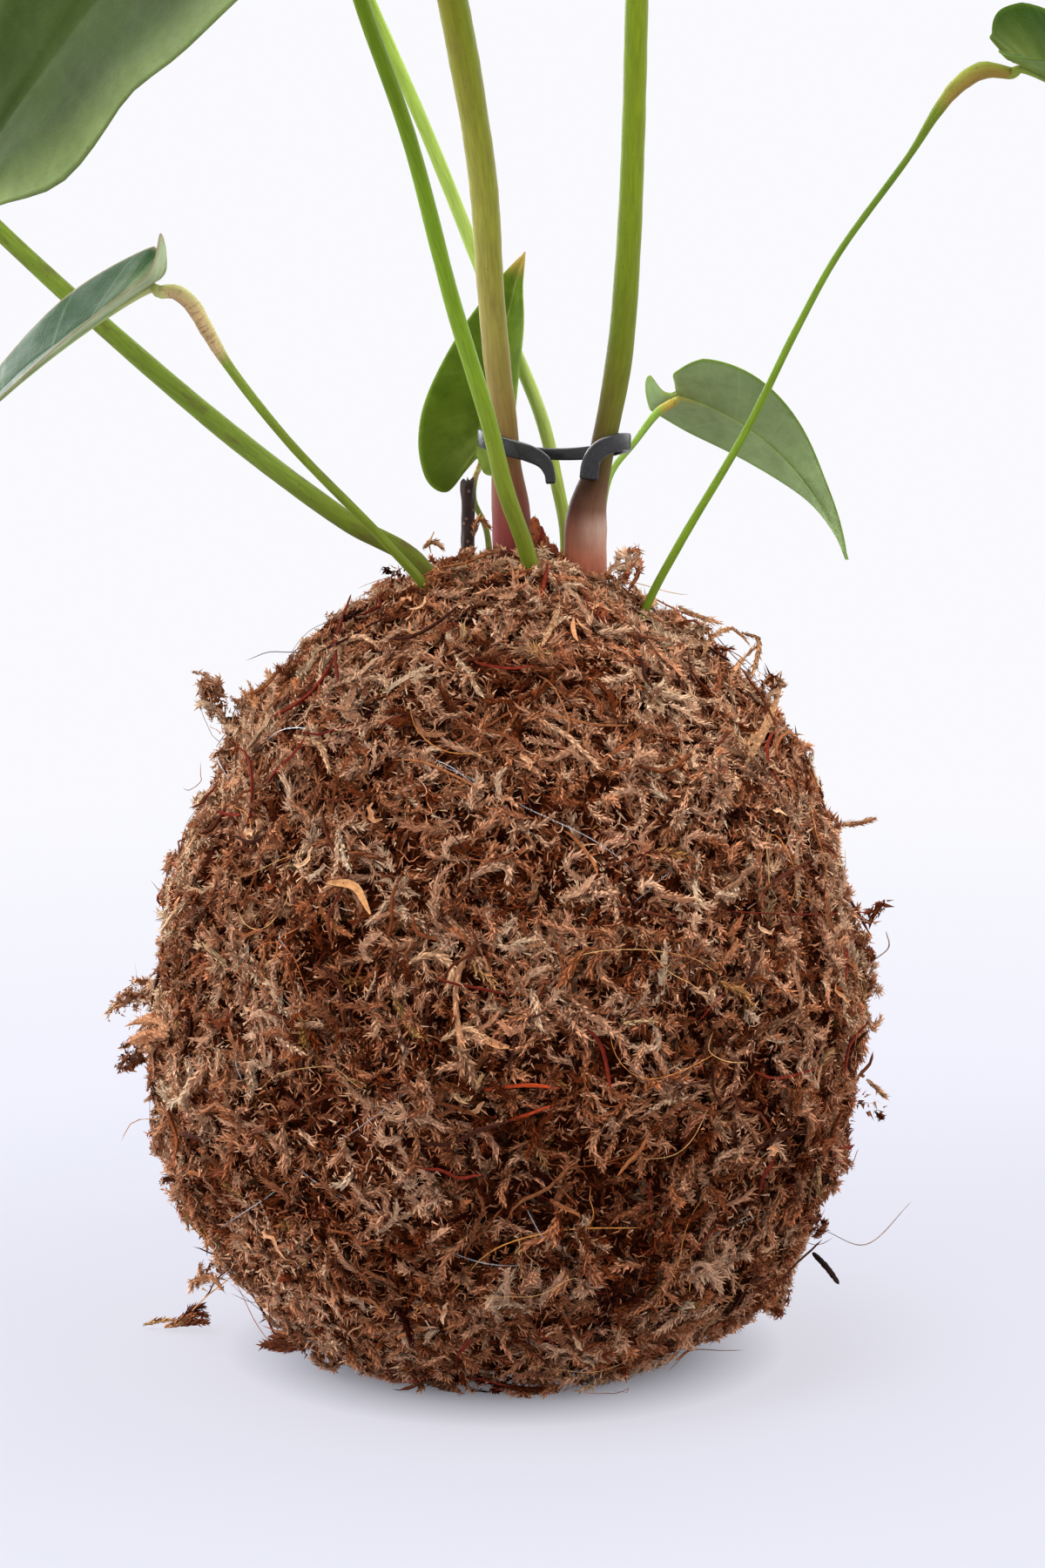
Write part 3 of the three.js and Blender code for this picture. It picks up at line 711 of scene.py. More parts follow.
def through(points, count):
    """A smooth line through points of x, y, z and more, at count places evenly along it."""
    points = np.asarray(points, float)
    knots = np.concatenate([[2 * points[0] - points[1]], points, [2 * points[-1] - points[-2]]])
    gaps = np.maximum(np.linalg.norm(np.diff(knots[:, :3], axis=0), axis=1), 1e-3) ** 0.5
    fine = []
    t = np.linspace(0, 1, 17)[:-1, None]
    for i in range(1, len(knots) - 2):
        p0, p1, p2, p3 = knots[i - 1 : i + 3]
        d0, d1, d2 = gaps[i - 1 : i + 2]
        leave = ((p1 - p0) / d0 - (p2 - p0) / (d0 + d1) + (p2 - p1) / d1) * d1
        reach = ((p2 - p1) / d1 - (p3 - p1) / (d1 + d2) + (p3 - p2) / d2) * d1
        part = p1 + leave * t + (3 * (p2 - p1) - 2 * leave - reach) * t**2
        part = part + (2 * (p1 - p2) + leave + reach) * t**3
        part[:, 3:] = p1[3:] + (p2[3:] - p1[3:]) * t
        fine.append(part)
    fine = np.concatenate([*fine, points[-1:]])
    along = np.concatenate([[0], np.cumsum(np.linalg.norm(np.diff(fine[:, :3], axis=0), axis=1))])
    at = np.linspace(0, along[-1], count)
    return np.stack([np.interp(at, along, column) for column in fine.T], 1), at


def rod(line, radius):
    """A round rod of radius (rings, sides): points, faces, and each point's outward way, angle and ring."""
    rings, sides = radius.shape
    tangent = unit(np.gradient(line, axis=0))
    first = np.empty_like(tangent)
    way = np.array([1.0, 0.0, 0.0])
    for i, forward in enumerate(tangent):
        way = unit(way - forward * (way @ forward))
        first[i] = way
    second = np.cross(tangent, first)
    angle = around(sides)
    out = np.cos(angle)[None, :, None] * first[:, None] + np.sin(angle)[None, :, None] * second[:, None]
    skin = line[:, None] + out * radius[..., None]
    points = np.concatenate([skin.reshape(-1, 3), line[:1], line[-1:]])
    ways = np.concatenate([out.reshape(-1, 3), -tangent[:1], tangent[-1:]])
    ring = np.concatenate([np.repeat(np.arange(rings), sides), [0, rings - 1]])
    turn = np.concatenate([np.tile(angle, rings), [0, 0]])
    return points, tube_faces(rings, sides, rings * sides, rings * sides + 1), ways, turn, ring


JOINT_COLOURS = ((204, 198, 132), (200, 166, 122))
# Each stem has its slot, the number of its sides, its joint's length and how far blotches show. A row of
# heights is a height, the colour at the left there and the colour at the right; the two sides differ as
# painted light and shade. A point of the route is x, y, z and the radius there, from the foot in the soil
# to the blade. slim narrows the skin, knee widens it near the joint, and ends are the joint's colours above
# and below.
STEMS = {
    "stem_thick_left": dict(
        slot="brown_stem", sides=22, joint=20, blotch=0.3, slim=0.95,
        heights_with_painted_sides=[
            (118, 100, 36, 38, 92, 34, 30), (133, 112, 46, 44, 108, 44, 40),
            (139, 118, 64, 52, 112, 60, 44), (144, 124, 84, 58, 116, 80, 48),
            (150, 132, 106, 62, 116, 92, 42), (163, 142, 128, 70, 124, 112, 46),
            (183, 136, 132, 58, 122, 122, 40), (200, 122, 120, 42, 112, 116, 30),
            (217, 114, 112, 28, 104, 112, 22), (280, 104, 114, 24, 96, 110, 18),
        ],
        route=[
            (2, 3, 90, 2.4), (1.8, 3, 112, 3), (1.5, 3, 127, 3.6), (0.9, 3, 137, 3.3), (0.2, 3, 144, 2.5),
            (0, 3, 150, 2.1), (-1.2, 3, 160, 2.25), (-2.3, 3.5, 172, 2.3), (-3.6, 4, 190, 2.4),
            (-8.2, 6, 217, 2.6), (-14.5, 7, 245, 2.5), (-22, 8, 273, 2.4), (-28, 7, 290, 2.7),
            (-33, 4, 300.3, 2.1),
        ],
    ),
    "stem_thick_right": dict(
        slot="green_stem", sides=22, joint=18, blotch=0.22, slim=0.94,
        heights_with_painted_sides=[
            (121, 150, 84, 62, 172, 100, 76), (129, 142, 76, 56, 166, 102, 78),
            (132.5, 118, 72, 54, 170, 132, 114), (134.5, 104, 58, 44, 166, 136, 120),
            (137, 60, 28, 18, 106, 72, 54), (141, 48, 24, 14, 84, 56, 32), (147, 66, 48, 18, 88, 80, 28),
            (153, 78, 70, 18, 96, 96, 28), (165, 86, 96, 16, 98, 108, 22), (183, 98, 114, 18, 106, 122, 22),
            (200, 102, 120, 18, 110, 126, 22), (280, 100, 118, 18, 108, 124, 22),
        ],
        route=[
            (11.5, 0, 90, 2.4), (12.2, 0, 112, 3), (12.8, 0, 127, 3.7), (12.9, 0, 134, 3.7),
            (13.3, 0, 138, 3.1), (14.4, 0.4, 142, 2.4), (15.6, 1, 147, 2.05), (18.2, 2, 161, 2.25),
            (19.6, 2.3, 178, 2.1), (20.4, 3, 198, 2), (21, 4, 222, 1.95), (22.5, 6, 250, 1.9),
            (27, 8, 276, 1.9), (33, 10, 291, 2.3), (39, 12, 297.1, 2),
        ],
    ),
    "stalk_front": dict(
        slot="stalk", sides=16, joint=13, blotch=0.1, slim=0.9,
        heights_with_painted_sides=[
            (118, 86, 98, 20, 90, 104, 18), (133, 96, 106, 24, 100, 110, 24),
            (145, 114, 128, 40, 104, 118, 26), (160, 116, 142, 42, 104, 132, 24),
            (185, 108, 136, 34, 98, 126, 18), (200, 94, 118, 22, 86, 110, 12),
            (260, 92, 116, 20, 84, 108, 12),
        ],
        route=[
            (4.6, -8, 97, 1.4), (4.6, -8.6, 114, 1.5), (4.2, -9, 128, 1.5), (0.1, -11, 141, 1.55),
            (-2.6, -12, 152, 1.5), (-8, -14, 170, 1.45), (-14.5, -19, 195, 1.35), (-21.4, -26, 215, 1.3),
            (-27, -34, 234, 1.3), (-32, -42, 250, 1.4), (-36, -49, 258, 1.8), (-39, -55, 260, 1.5),
        ],
    ),
    "stalk_back": dict(
        slot="pale_stalk", sides=16, joint=13, blotch=0.05, slim=0.88,
        heights_with_painted_sides=[
            (118, 112, 124, 44, 124, 136, 56), (141, 130, 146, 58, 142, 158, 70),
            (153, 146, 164, 80, 156, 172, 90), (217, 148, 174, 66, 158, 184, 78),
            (250, 128, 156, 48, 138, 166, 58),
        ],
        route=[
            (8.5, 10.5, 97, 1.1), (9.4, 11.3, 114, 1.2), (9.9, 12, 132, 1.2), (8.5, 14, 140, 1.2),
            (5.9, 17, 151, 1.25), (-1.2, 22, 168, 1.3), (-12.1, 32, 195, 1.3), (-22.7, 41, 219, 1.25),
            (-29.5, 47, 234, 1.25), (-36, 53, 246.5, 1.7), (-40.9, 55.4, 250.9, 1.3),
        ],
    ),
    "stalk_left": dict(
        slot="stalk", sides=16, joint=12, blotch=0.75,
        heights_with_painted_sides=[
            (122, 78, 88, 18, 88, 98, 24), (134, 92, 104, 24, 104, 116, 34),
            (145, 112, 130, 46, 118, 136, 50), (217, 116, 140, 40, 122, 146, 46),
        ],
        route=[
            (-7.5, -1.5, 97, 1.4), (-9.5, -1.8, 114, 1.5), (-13.3, -2, 128, 1.5), (-25.2, -2, 135.4, 1.6),
            (-42.5, -2, 148.3, 1.7), (-64, -0.5, 166.5, 1.5), (-79.8, 0, 181, 1.4), (-93, 0, 194, 1.35),
            (-104, -1, 205.5, 1.4), (-110, -1.5, 210.5, 1.8), (-115, -2, 211.5, 1.5),
        ],
    ),
    "stalk_far_left": dict(
        slot="stalk", sides=14, joint=16, blotch=0.3, slim=0.95,
        heights_with_painted_sides=[
            (118, 100, 114, 28, 104, 118, 32), (150, 106, 122, 34, 112, 128, 40),
            (163, 124, 144, 48, 130, 150, 56), (175, 146, 164, 84, 150, 168, 88),
        ],
        route=[
            (-6, -7, 97, 0.8), (-8, -7.4, 112, 0.85), (-11.8, -8, 124, 0.85), (-18.9, -11, 132.9, 0.8),
            (-33.3, -18, 148.7, 0.75), (-42.2, -23, 160.7, 0.8), (-45, -24.5, 165.6, 1.2),
            (-47.6, -26, 170.2, 1.3), (-50, -26.3, 171.9, 1.25), (-52.2, -26.5, 171.8, 1),
        ],
    ),
    "stalk_right": dict(
        slot="stalk", sides=14, joint=15, blotch=0.1, slim=0.8, ticks=0.12, knee=0.5,
        ends=((138, 146, 60), (152, 124, 58)),
        heights_with_painted_sides=[
            (118, 86, 106, 16, 92, 112, 20), (130, 90, 112, 20, 96, 118, 24),
            (165, 92, 116, 26, 98, 122, 30), (190, 82, 106, 24, 88, 112, 28),
            (210, 118, 128, 40, 122, 132, 44),
        ],
        route=[
            (17.5, -3, 97, 0.85), (19.5, -3.6, 112, 0.9), (22.6, -4, 122, 0.85), (27.8, -2, 131.7, 0.85),
            (38.8, 4, 149.7, 0.8), (46.7, 8, 165.2, 0.75), (53.6, 12, 177.3, 0.7), (65.8, 18, 193.6, 0.7),
            (70.2, 20, 200.4, 1.1), (73.4, 20.6, 204.4, 1.2), (77.5, 21, 207, 1.25), (82.4, 21.4, 206.6, 1),
        ],
    ),
    "stalk_back_right": dict(
        slot="stalk", sides=12, joint=5, blotch=0.1, ticks=0.3, ends=((188, 164, 74), (196, 150, 72)),
        heights_with_painted_sides=[
            (118, 100, 124, 36, 104, 128, 40), (160, 128, 158, 62, 132, 162, 66),
        ],
        route=[
            (14.5, 12.2, 97, 0.6), (15, 13, 114, 0.6), (15.5, 14, 130, 0.6), (17.1, 20, 141, 0.55),
            (21.5, 26, 146.6, 0.55), (25.4, 31, 151.2, 0.75), (28, 34.4, 152.7, 0.7),
        ],
    ),
    "stalk_small_leaf": dict(
        slot="stalk", sides=12, joint=4, blotch=0.3,
        heights_with_painted_sides=[
            (118, 96, 98, 40, 100, 102, 44), (145, 110, 120, 50, 114, 124, 54),
        ],
        route=[
            (-2.4, 10.5, 97, 0.6), (-2.4, 11.5, 114, 0.6), (-2.5, 13, 127, 0.55), (-3.2, 15.3, 133, 0.5),
            (-5.2, 17.6, 137.5, 0.5), (-5, 18.5, 141, 0.5), (-4.1, 18.1, 143.4, 0.5),
        ],
    ),
}


def by_height_and_painted_light(stops, z, side):
    """A colour from rows of height, left colour and right colour: painted light and shade on the stem's two
    sides. side is -1 at the left, 1 at the right.
    """
    stops = np.array(stops)
    left, right = (stepped(z, stops[:, 0], stops[:, k : k + 3]) for k in (1, 4))
    return blended(left, right, held(side * 0.9 + 0.5))


skin = Skin("stem_skin")
place = skin.attribute("skin", "Vector")
long_way = skin.stretched((5, 5, 0.25), place)
streaks = skin.noise(1.0, 3, vector=long_way)
blotches = skin.noise(1.0, 4, 0.6, vector=skin.stretched((1.2, 1.2, 0.16), place))
blotch = skin.product(skin.span(blotches, 0.52, 0.7), skin.attribute("blotch"), clamp=True)
colour = skin.mix(blotch, skin.tinted(0.84, 1.16, 1.0, vector=long_way), (0.11, 0.065, 0.03))
specks = skin.cells(1.0, "F1", vector=skin.stretched((1.6, 1.6, 0.55), place))
colour = skin.mix(skin.span(specks, 0.085, 0.05, 0, 0.6), colour, (0.05, 0.02, 0.012))
ticks = skin.noise(1.0, 4, 0.7, vector=skin.stretched((1.6, 1.6, 4.2), place))
tick = skin.product(skin.span(ticks, 0.54, 0.62), skin.attribute("tick"), clamp=True)
skin.bump(skin.math("ADD", streaks, tick), 0.12, 0.35)
# How green skins let light in
LIVING = {"Subsurface_Weight": 0.05, "Subsurface_Scale": 0.8 * MM}
stem_material = skin.set(
    skin.mix(tick, colour, (0.22, 0.10, 0.045)), skin.spread(streaks, 0.42, 0.6), 0.1,
    Subsurface_Radius=(0.6, 1.0, 0.3), **LIVING,
)
RING_GAP, JOINT_EDGE, JOINT_SHARE = 1.0, 2.5, 0.92
GROOVE_PLACE, GROOVE_WIDTH, GROOVE_DEPTH = 1.1, 0.3, 0.10
WRINKLE_DEPTH, WRINKLES = 0.025, 4.2
KNEE_PLACE = 6.5
FOOT_GIRTH, USUAL_RADIUS = 0.7, 2.3


def stem(name, slot, sides, joint, blotch, heights_with_painted_sides, route, slim=1, knee=0, ticks=0.8, ends=JOINT_COLOURS):
    rings = int(np.linalg.norm(np.diff(np.array(route)[:, :3], axis=0), axis=1).sum() / RING_GAP)
    values, along = through(route, rings)
    line, radius = values[:, :3], values[:, 3]
    from_end = along[-1] - along
    in_joint = held((joint - from_end) / JOINT_EDGE)
    wobble = slim * (1 + 0.012 * waves(line, 9, len(name)) + 0.008 * waves(line, 3.5, len(name) + 1))
    groove = bell((((around(sides) - GROOVE_PLACE + math.pi) % (2 * math.pi)) - math.pi) / GROOVE_WIDTH)
    wrinkle = 1 + WRINKLE_DEPTH * in_joint * np.sin(along * WRINKLES)
    girth = (radius * wobble * wrinkle * (1 + knee * bell(from_end / KNEE_PLACE - 1)))[:, None]
    girth = girth * (1 - GROOVE_DEPTH * groove * (1 - in_joint[:, None]))
    girth[0] *= FOOT_GIRTH
    points, faces, ways, turn, ring = rod(line, girth)
    below = held(0.5 - 0.9 * ways[:, 2] - 0.3 * ways[:, 1])
    in_joint = in_joint[ring]
    # The stem's left and right sides take different colours: painted light and shade.
    tint = by_height_and_painted_light(heights_with_painted_sides, points[:, 2], ways[:, 0])
    tint = blended(tint, blended(*linear(ends), below), in_joint * JOINT_SHARE)
    size = radius.mean() / USUAL_RADIUS
    values = {
        "skin": np.stack([np.cos(turn) * size, np.sin(turn) * size, along[ring]], 1),
        "blotch": blotch * (1 - in_joint),
        "tick": in_joint * below * ticks,
    }
    piece(name + "_skin", points, faces, stem_material, (name,), tint=tint, values=values)


for name, look in STEMS.items():
    stem(name, **look)

# leaves
# The stalk's end, the way to the tip, the way the upper face looks, and the blade's size and bends.
# Colours are of the upper face, the lower face and the margin. other_lobe and other_rise are for the
# left half. bulges move a half's margin outward and back near a place along it. drip draws the tip out.
DARK, SOFT, RIM = (60, 86, 28), (104, 128, 66), (122, 142, 62)
PLAIN_LEAF = dict(
    lobe=1, waves=3, colours=(DARK, SOFT, RIM), veined=0.5, patches=0, margin=0.93, ribbed=0.55, bulges=(),
    drip=0, tip_colour=None,
)
LEAVES = {
    "leaf_thick_left": dict(
        stalk="stem_thick_left", at=(-33, 4, 302), tip=(-0.72, -0.6, 0.12), face=(-0.1, 0, 1), length=118,
        half=42, rise=3, droop=62, fold=14, wave=2.6, phase=0.4, veins=12,
    ),
    "leaf_thick_right": dict(
        stalk="stem_thick_right", at=(39, 12, 299.5), tip=(0.86, 0.42, 0.2), face=(0.05, -0.15, 1),
        length=112, half=40, rise=3, droop=66, fold=16, wave=2.4, phase=2.1, veins=12,
    ),
    "leaf_front": dict(
        stalk="stalk_front", at=(-39.5, -55, 262.5), tip=(-0.35, -0.92, 0.1), face=(-0.1, 0, 1), length=92,
        half=33, rise=2, droop=42, fold=15, wave=2.2, phase=1.2, veins=11,
    ),
    "leaf_back": dict(
        stalk="stalk_back", at=(-41.6, 54.2, 252.6), tip=(-0.69, 0.03, -0.69), face=(-0.42, -0.74, 0.5),
        length=96, half=34.8, rise=2, droop=18, fold=8, wave=1.6, phase=0.9,
        colours=((44, 58, 20), SOFT, (108, 122, 74)), veins=11, veined=0.05, margin=0.56, ribbed=0,
        bulges=((1, 0.735, 0.035, -2.8, 0), (1, 0.83, 0.045, 4.5, 0)),
    ),
    "leaf_left": dict(
        stalk="stalk_left", at=(-115.5, -2, 214), tip=(-0.82, -0.22, -0.4), face=(-0.5, -0.1, 0.8),
        length=76, half=27, lobe=0.8, rise=2, droop=40, fold=14, wave=1.8, phase=2.8, veins=10,
    ),
    "leaf_far_left": dict(
        stalk="stalk_far_left", at=(-52.4, -26, 173.9), tip=(-0.85, 0.06, -0.5), face=(-0.5, -0.2, 0.84),
        length=58, half=14.4, lobe=0.34, rise=5.5, other_lobe=0.1, other_rise=0, droop=20, fold=10,
        wave=0.8, waves=2, phase=1.1, colours=((34, 66, 34), (160, 174, 138), (150, 134, 106)), veins=9,
        veined=0.55,
    ),
    "leaf_right": dict(
        stalk="stalk_right", at=(83, 20.4, 208.3), tip=(0.86, 0.26, -0.32), face=(0.12, -0.42, 0.88),
        length=52, half=12, lobe=0.36, rise=1, other_rise=-1.2, droop=46, fold=30, wave=1, waves=2,
        phase=0.2, colours=((46, 72, 16), (96, 122, 56), (80, 104, 32)), veins=9, veined=0.2,
        bulges=((1, 0.1, 0.09, 0.6, 3.4), (-1, 0.12, 0.12, 0, 1.8)),
    ),
    "leaf_back_right": dict(
        stalk="stalk_back_right", at=(28.6, 34, 154.3), tip=(0.93, 0.28, -0.24), face=(0.2, 0.5, 0.84),
        length=38.5, half=11.8, lobe=0.28, rise=4.5, other_rise=1, droop=62, fold=5, wave=0.8, waves=2,
        phase=1.9, drip=4.2, colours=((66, 96, 34), (134, 156, 106), (112, 136, 52)), veins=8, veined=0.4,
    ),
    "leaf_small": dict(
        stalk="stalk_small_leaf", at=(-4.6, 16.6, 144.5), tip=(0.2, 0.06, 0.975), face=(-0.52, -0.85, 0.06),
        length=34.4, half=10, lobe=0.8, other_lobe=0.3, rise=0, droop=6, fold=29, wave=0.5, waves=2,
        phase=0.5, colours=((80, 100, 22), (106, 126, 56), (124, 144, 56)), veins=7, veined=0.15,
        patches=0.75, bulges=((-1, 0.88, 0.07, -1.4, 0), (-1, 0.72, 0.1, -0.7, 0)),
        tip_colour=(178, 146, 76),
    ),
}
# Half of a blade's outline, from the notch round the back lobe to the tip
OUTLINE = np.array([
    (0, 0), (-0.11, 0.17), (-0.24, 0.42), (-0.19, 0.75), (0.02, 0.97), (0.25, 1), (0.54, 0.77), (0.82, 0.34),
    (1, 0),
])
LOBE_REACH = 0.24
RIB_LINEAR = 0.12
BLADE_THICKNESS = 0.56
QUILT, CREASE, SOFTNESS, RIB_WIDTH = 0.34, 0.5, 0.35, 0.7  # for a blade of 100 mm
RIB_SPAN, RIB_RINGS, RIB_SIDES, JOINT_RUN = (0.16, 0.96), 90, 10, 0.22
GROWN = 70  # the length of a grown blade, and more


def outline_at(u):
    last = len(OUTLINE) - 1
    i = np.minimum((u * last).astype(int), last - 1)
    t = (u * last - i)[..., None]
    p0, p1, p2, p3 = (OUTLINE[np.clip(i + k, 0, last)] for k in (-1, 0, 1, 2))
    v0, v1 = (p2 - p0) / 2, (p3 - p1) / 2
    return (2 * p1 - 2 * p2 + v0 + v1) * t**3 + (3 * p2 - 3 * p1 - 2 * v0 - v1) * t**2 + v0 * t + p1


def rib_share(u):
    return RIB_LINEAR * u + (1 - RIB_LINEAR) * u**3


def on_blade(leaf, across, u, lift):
    """Places on a blade: across from -1 to 1, u from the notch to the tip, lift off its middle sheet."""
    margin = outline_at(u)
    v, side = np.abs(across), np.sign(across)
    length = leaf["length"]
    reach_back = np.where(across < 0, leaf["other_lobe"], leaf["lobe"])
    edge = margin[..., 0] * length * np.where(margin[..., 0] < 0, reach_back, 1)
    x = length * rib_share(u) * (1 - v) + edge * v
    y = v * margin[..., 1] * leaf["half"]
    lobe = np.minimum(0, x) / (LOBE_REACH * length * reach_back)
    for half_side, centre, width, outward, backward in leaf["bulges"]:
        share = (side == half_side) * bell((u - centre) / width)
        y, x = y + outward * share * v**3, x - backward * share * v
    x = x + leaf["drip"] * held((x / length - 0.8) / 0.2) ** 2
    fold = math.radians(leaf["fold"])
    wave = leaf["wave"] * v * v * np.sin(2 * math.pi * leaf["waves"] * u + leaf["phase"] + side)
    height = y * math.sin(fold) + wave * np.minimum(1, 6 * u) * np.minimum(1, 6 * (1 - u))
    height = height + np.where(across < 0, leaf["other_rise"], leaf["rise"]) * lobe**2 + lift
    droop = math.radians(leaf["droop"])
    angle = droop * x / length
    reach = length / droop
    along = unit(np.array(leaf["tip"]))
    sideways = unit(np.cross(np.array(leaf["face"]), along))
    steps = (
        ((reach + height) * np.sin(angle), along), (side * y * math.cos(fold), sideways),
        (reach * (np.cos(angle) - 1) + height * np.cos(angle), np.cross(along, sideways)),
    )
    return np.array(leaf["at"]) + sum(far[..., None] * way for far, way in steps)


def leaf_skin(name, gloss):
    skin = Skin(name)
    across, veined = skin.attribute("vein"), skin.attribute("veined")
    broad = skin.span(skin.math("PINGPONG", across, 0.5), 0.0, 0.06, 1, 0)
    fine = skin.span(skin.math("PINGPONG", skin.product(across, 4), 0.5), 0, 0.12, 0.35, 0)
    net = skin.math("MAXIMUM", fine, skin.span(skin.cells(900), 0, 0.09, 0.3, 0))
    veins = skin.product(skin.math("MAXIMUM", broad, net, clamp=True), veined)
    tint = skin.tinted(0.84, 1.18, 90, 4)
    dull = skin.mix(1.0, tint, (0.62, 0.7, 0.5), "MULTIPLY")
    tint = skin.mix(skin.span(skin.noise(420), 0.45, 0.65, 0, 0.3), tint, dull)
    patch = skin.product(skin.span(skin.noise(150, 4, 0.6), 0.5, 0.62), skin.attribute("patches"))
    tint = skin.mix(patch, tint, dull)
    tint = skin.mix(veins, tint, skin.mix(1.0, tint, (0.06, 0.075, 0.035), "ADD"))
    spots = skin.product(skin.span(skin.cells(330, "F1"), 0.16, 0.08, 0, 0.85), skin.attribute("spots"))
    skin.bump(skin.math("ADD", skin.product(veins, -1.0), skin.noise(1500, 2)), 0.16, 0.4)
    rough = skin.span(skin.attribute("upper"), 0, 1, 0.6, 0.42)
    rough = skin.math("ADD", rough, skin.spread(skin.noise(260), -0.05, 0.09))
    tint = skin.mix(spots, tint, (0.09, 0.035, 0.02))
    return skin.set(tint, rough, gloss, Subsurface_Radius=(0.5, 1.0, 0.2), **LIVING)


leaf_material, young_material = leaf_skin("leaf_skin", 0.03), leaf_skin("young_leaf_skin", 0.035)
COLUMNS, ROWS = 28, 56
RIB_PALE, FOOT_PALE, RIB_BELOW = linear((170, 188, 110)), linear((150, 160, 84)), linear((160, 180, 100))


def leaf_piece(name, leaf):
    even = np.linspace(-1, 1, COLUMNS + 1)
    across = 0.5 * np.sin(even * math.pi / 2) + 0.5 * even
    U, A = np.meshgrid(np.linspace(0, 1, ROWS + 1), across, indexing="ij")
    v = np.abs(A)
    margin = outline_at(U)
    from_rib = v * margin[..., 1] * leaf["half"]
    phase = leaf["veins"] * (U + 0.05 * v)
    inner = held((1 - v) * 5) * held(v * 6) * held((1 - U) * 8)
    size = leaf["length"] / 100
    quilt = QUILT * size * inner * (0.5 - 0.5 * np.cos(2 * math.pi * phase))
    crease = CREASE * size * bell(from_rib / (0.9 * size)) * held((1 - U) * 4) * held(U * 6 - 0.6)
    soft = SOFTNESS * size * waves(np.stack([U * 9, A * 3, 0 * U], -1), 2.4, len(name)) * v
    thin = BLADE_THICKNESS / 2 * (1 - 0.7 * v**6)
    top = on_blade(leaf, A, U, thin + quilt + soft - crease)
    bottom = on_blade(leaf, A, U, -thin + quilt + soft - crease * 1.2)
    n, count = COLUMNS + 1, U.size
    sheet = grid(ROWS + 1, n)[:, [0, 3, 2, 1]]
    k = np.arange(ROWS) * n
    rims = [
        np.stack([j + count, j, j + n, j + n + count], 1)[:, turn]
        for j, turn in ((k, [2, 3, 0, 1]), (k + COLUMNS, [0, 3, 2, 1]))
    ]
    quads = np.concatenate([sheet[:, ::-1], sheet + count, *rims])
    above, beneath, rim = linear(leaf["colours"])
    edge = held((v - leaf["margin"]) / (0.99 - leaf["margin"])) ** 1.5
    at_tip = held((rib_share(U) * (1 - v) + margin[..., 0] * v - 0.87) / 0.1)
    ribs = leaf["ribbed"] * bell(from_rib / (RIB_WIDTH * size)) * held(U * 8)
    foot = 0.35 * bell(np.linalg.norm(top - leaf["at"], axis=-1) / (8 * size + 2))
    tints = []
    for base in (above, beneath):
        tint = blended(blended(base, rim, edge), blended(base, RIB_PALE, 0.5), ribs)
        tint = blended(tint, FOOT_PALE, foot)
        if leaf["tip_colour"]:
            tint = blended(tint, linear(leaf["tip_colour"]), at_tip)
        tints.append(tint.reshape(-1, 3))
    # the midrib stands out below, and runs on from the stalk
    stalk = STEMS[leaf["stalk"]]
    before, end = (np.array(p) for p in stalk["route"][-2:])
    ru = np.linspace(*RIB_SPAN, 40)
    swollen = end[3] * 0.95 * np.exp(-ru * 6.5) + 0.62 * size * (1 - ru) ** 0.7 + 0.06
    place = on_blade(leaf, 0 * ru, ru, -BLADE_THICKNESS / 2 - 0.5 * size - swollen * 0.35)
    inside = end - np.append(unit(end[:3] - before[:3]), 0.0) * 1.5
    values, _ = through(np.concatenate([[inside, end], np.column_stack([place, swollen])]), RIB_RINGS)
    rib, rib_faces, *_ = rod(values[:, :3], np.repeat(values[:, 3:], RIB_SIDES, axis=1))
    joint = linear(stalk.get("ends", JOINT_COLOURS)[0])
    share = held(np.linspace(0, 1, len(rib)) / JOINT_RUN)
    tints.append(blended(joint, blended(beneath, RIB_BELOW, 0.45), share))
    spots = held((v.ravel() - 0.82) * 5) * 0.5
    total = 2 * count + len(rib)
    values = {
        "upper": np.arange(total) < count,
        "vein": np.concatenate([phase.ravel(), phase.ravel(), np.full(len(rib), 0.5)]),
        "spots": np.concatenate([spots, spots, np.zeros(len(rib))]),
        "veined": np.full(total, leaf["veined"]),
        "patches": np.full(total, leaf["patches"]),
    }
    material, slot = (leaf_material, "leaf") if leaf["length"] > GROWN else (young_material, "young_leaf")
    points = np.concatenate([top.reshape(-1, 3), bottom.reshape(-1, 3), rib])
    faces, tint = np.concatenate([triangles(quads), rib_faces + 2 * count]), np.concatenate(tints)
    piece(name + "_blade", points, faces, material, (name,), tint=tint, values=values, weld=True)


for name, look in LEAVES.items():
    leaf = {**PLAIN_LEAF, **look}
    leaf_piece(name, {"other_lobe": leaf["lobe"], "other_rise": leaf["rise"], **leaf})

# stake
STAKE_PLACE, STAKE_FOOT, STAKE_TOP = np.array([-6.2, 14]), 73, 141.5
STAKE_RADIUS, STAKE_SIDES, STAKE_RINGS = 1.12, 20, 90
BARK = (0.3, (20, 10, 9)), (0.55, (44, 26, 22)), (0.8, (78, 52, 44))
z = np.linspace(STAKE_FOOT, STAKE_TOP, STAKE_RINGS)
line = np.stack([STAKE_PLACE[0] + 0.08 * np.sin(z / 5), STAKE_PLACE[1] + 0 * z, z], 1)
angle, z = np.meshgrid(around(STAKE_SIDES), z)
bark = np.stack([np.cos(angle) * 1.2, np.sin(angle) * 1.2, z * 0.4], -1)
points, faces, *_ = rod(line, STAKE_RADIUS + 0.07 * waves(bark, 1.5, 41))
broken = points[-2 - STAKE_SIDES:-2]
broken[:, 2] += rng.uniform(-1.5, 0, STAKE_SIDES)
broken[:, :2] += (STAKE_PLACE - broken[:, :2]) * 0.12
points[-1, 2] -= 0.9
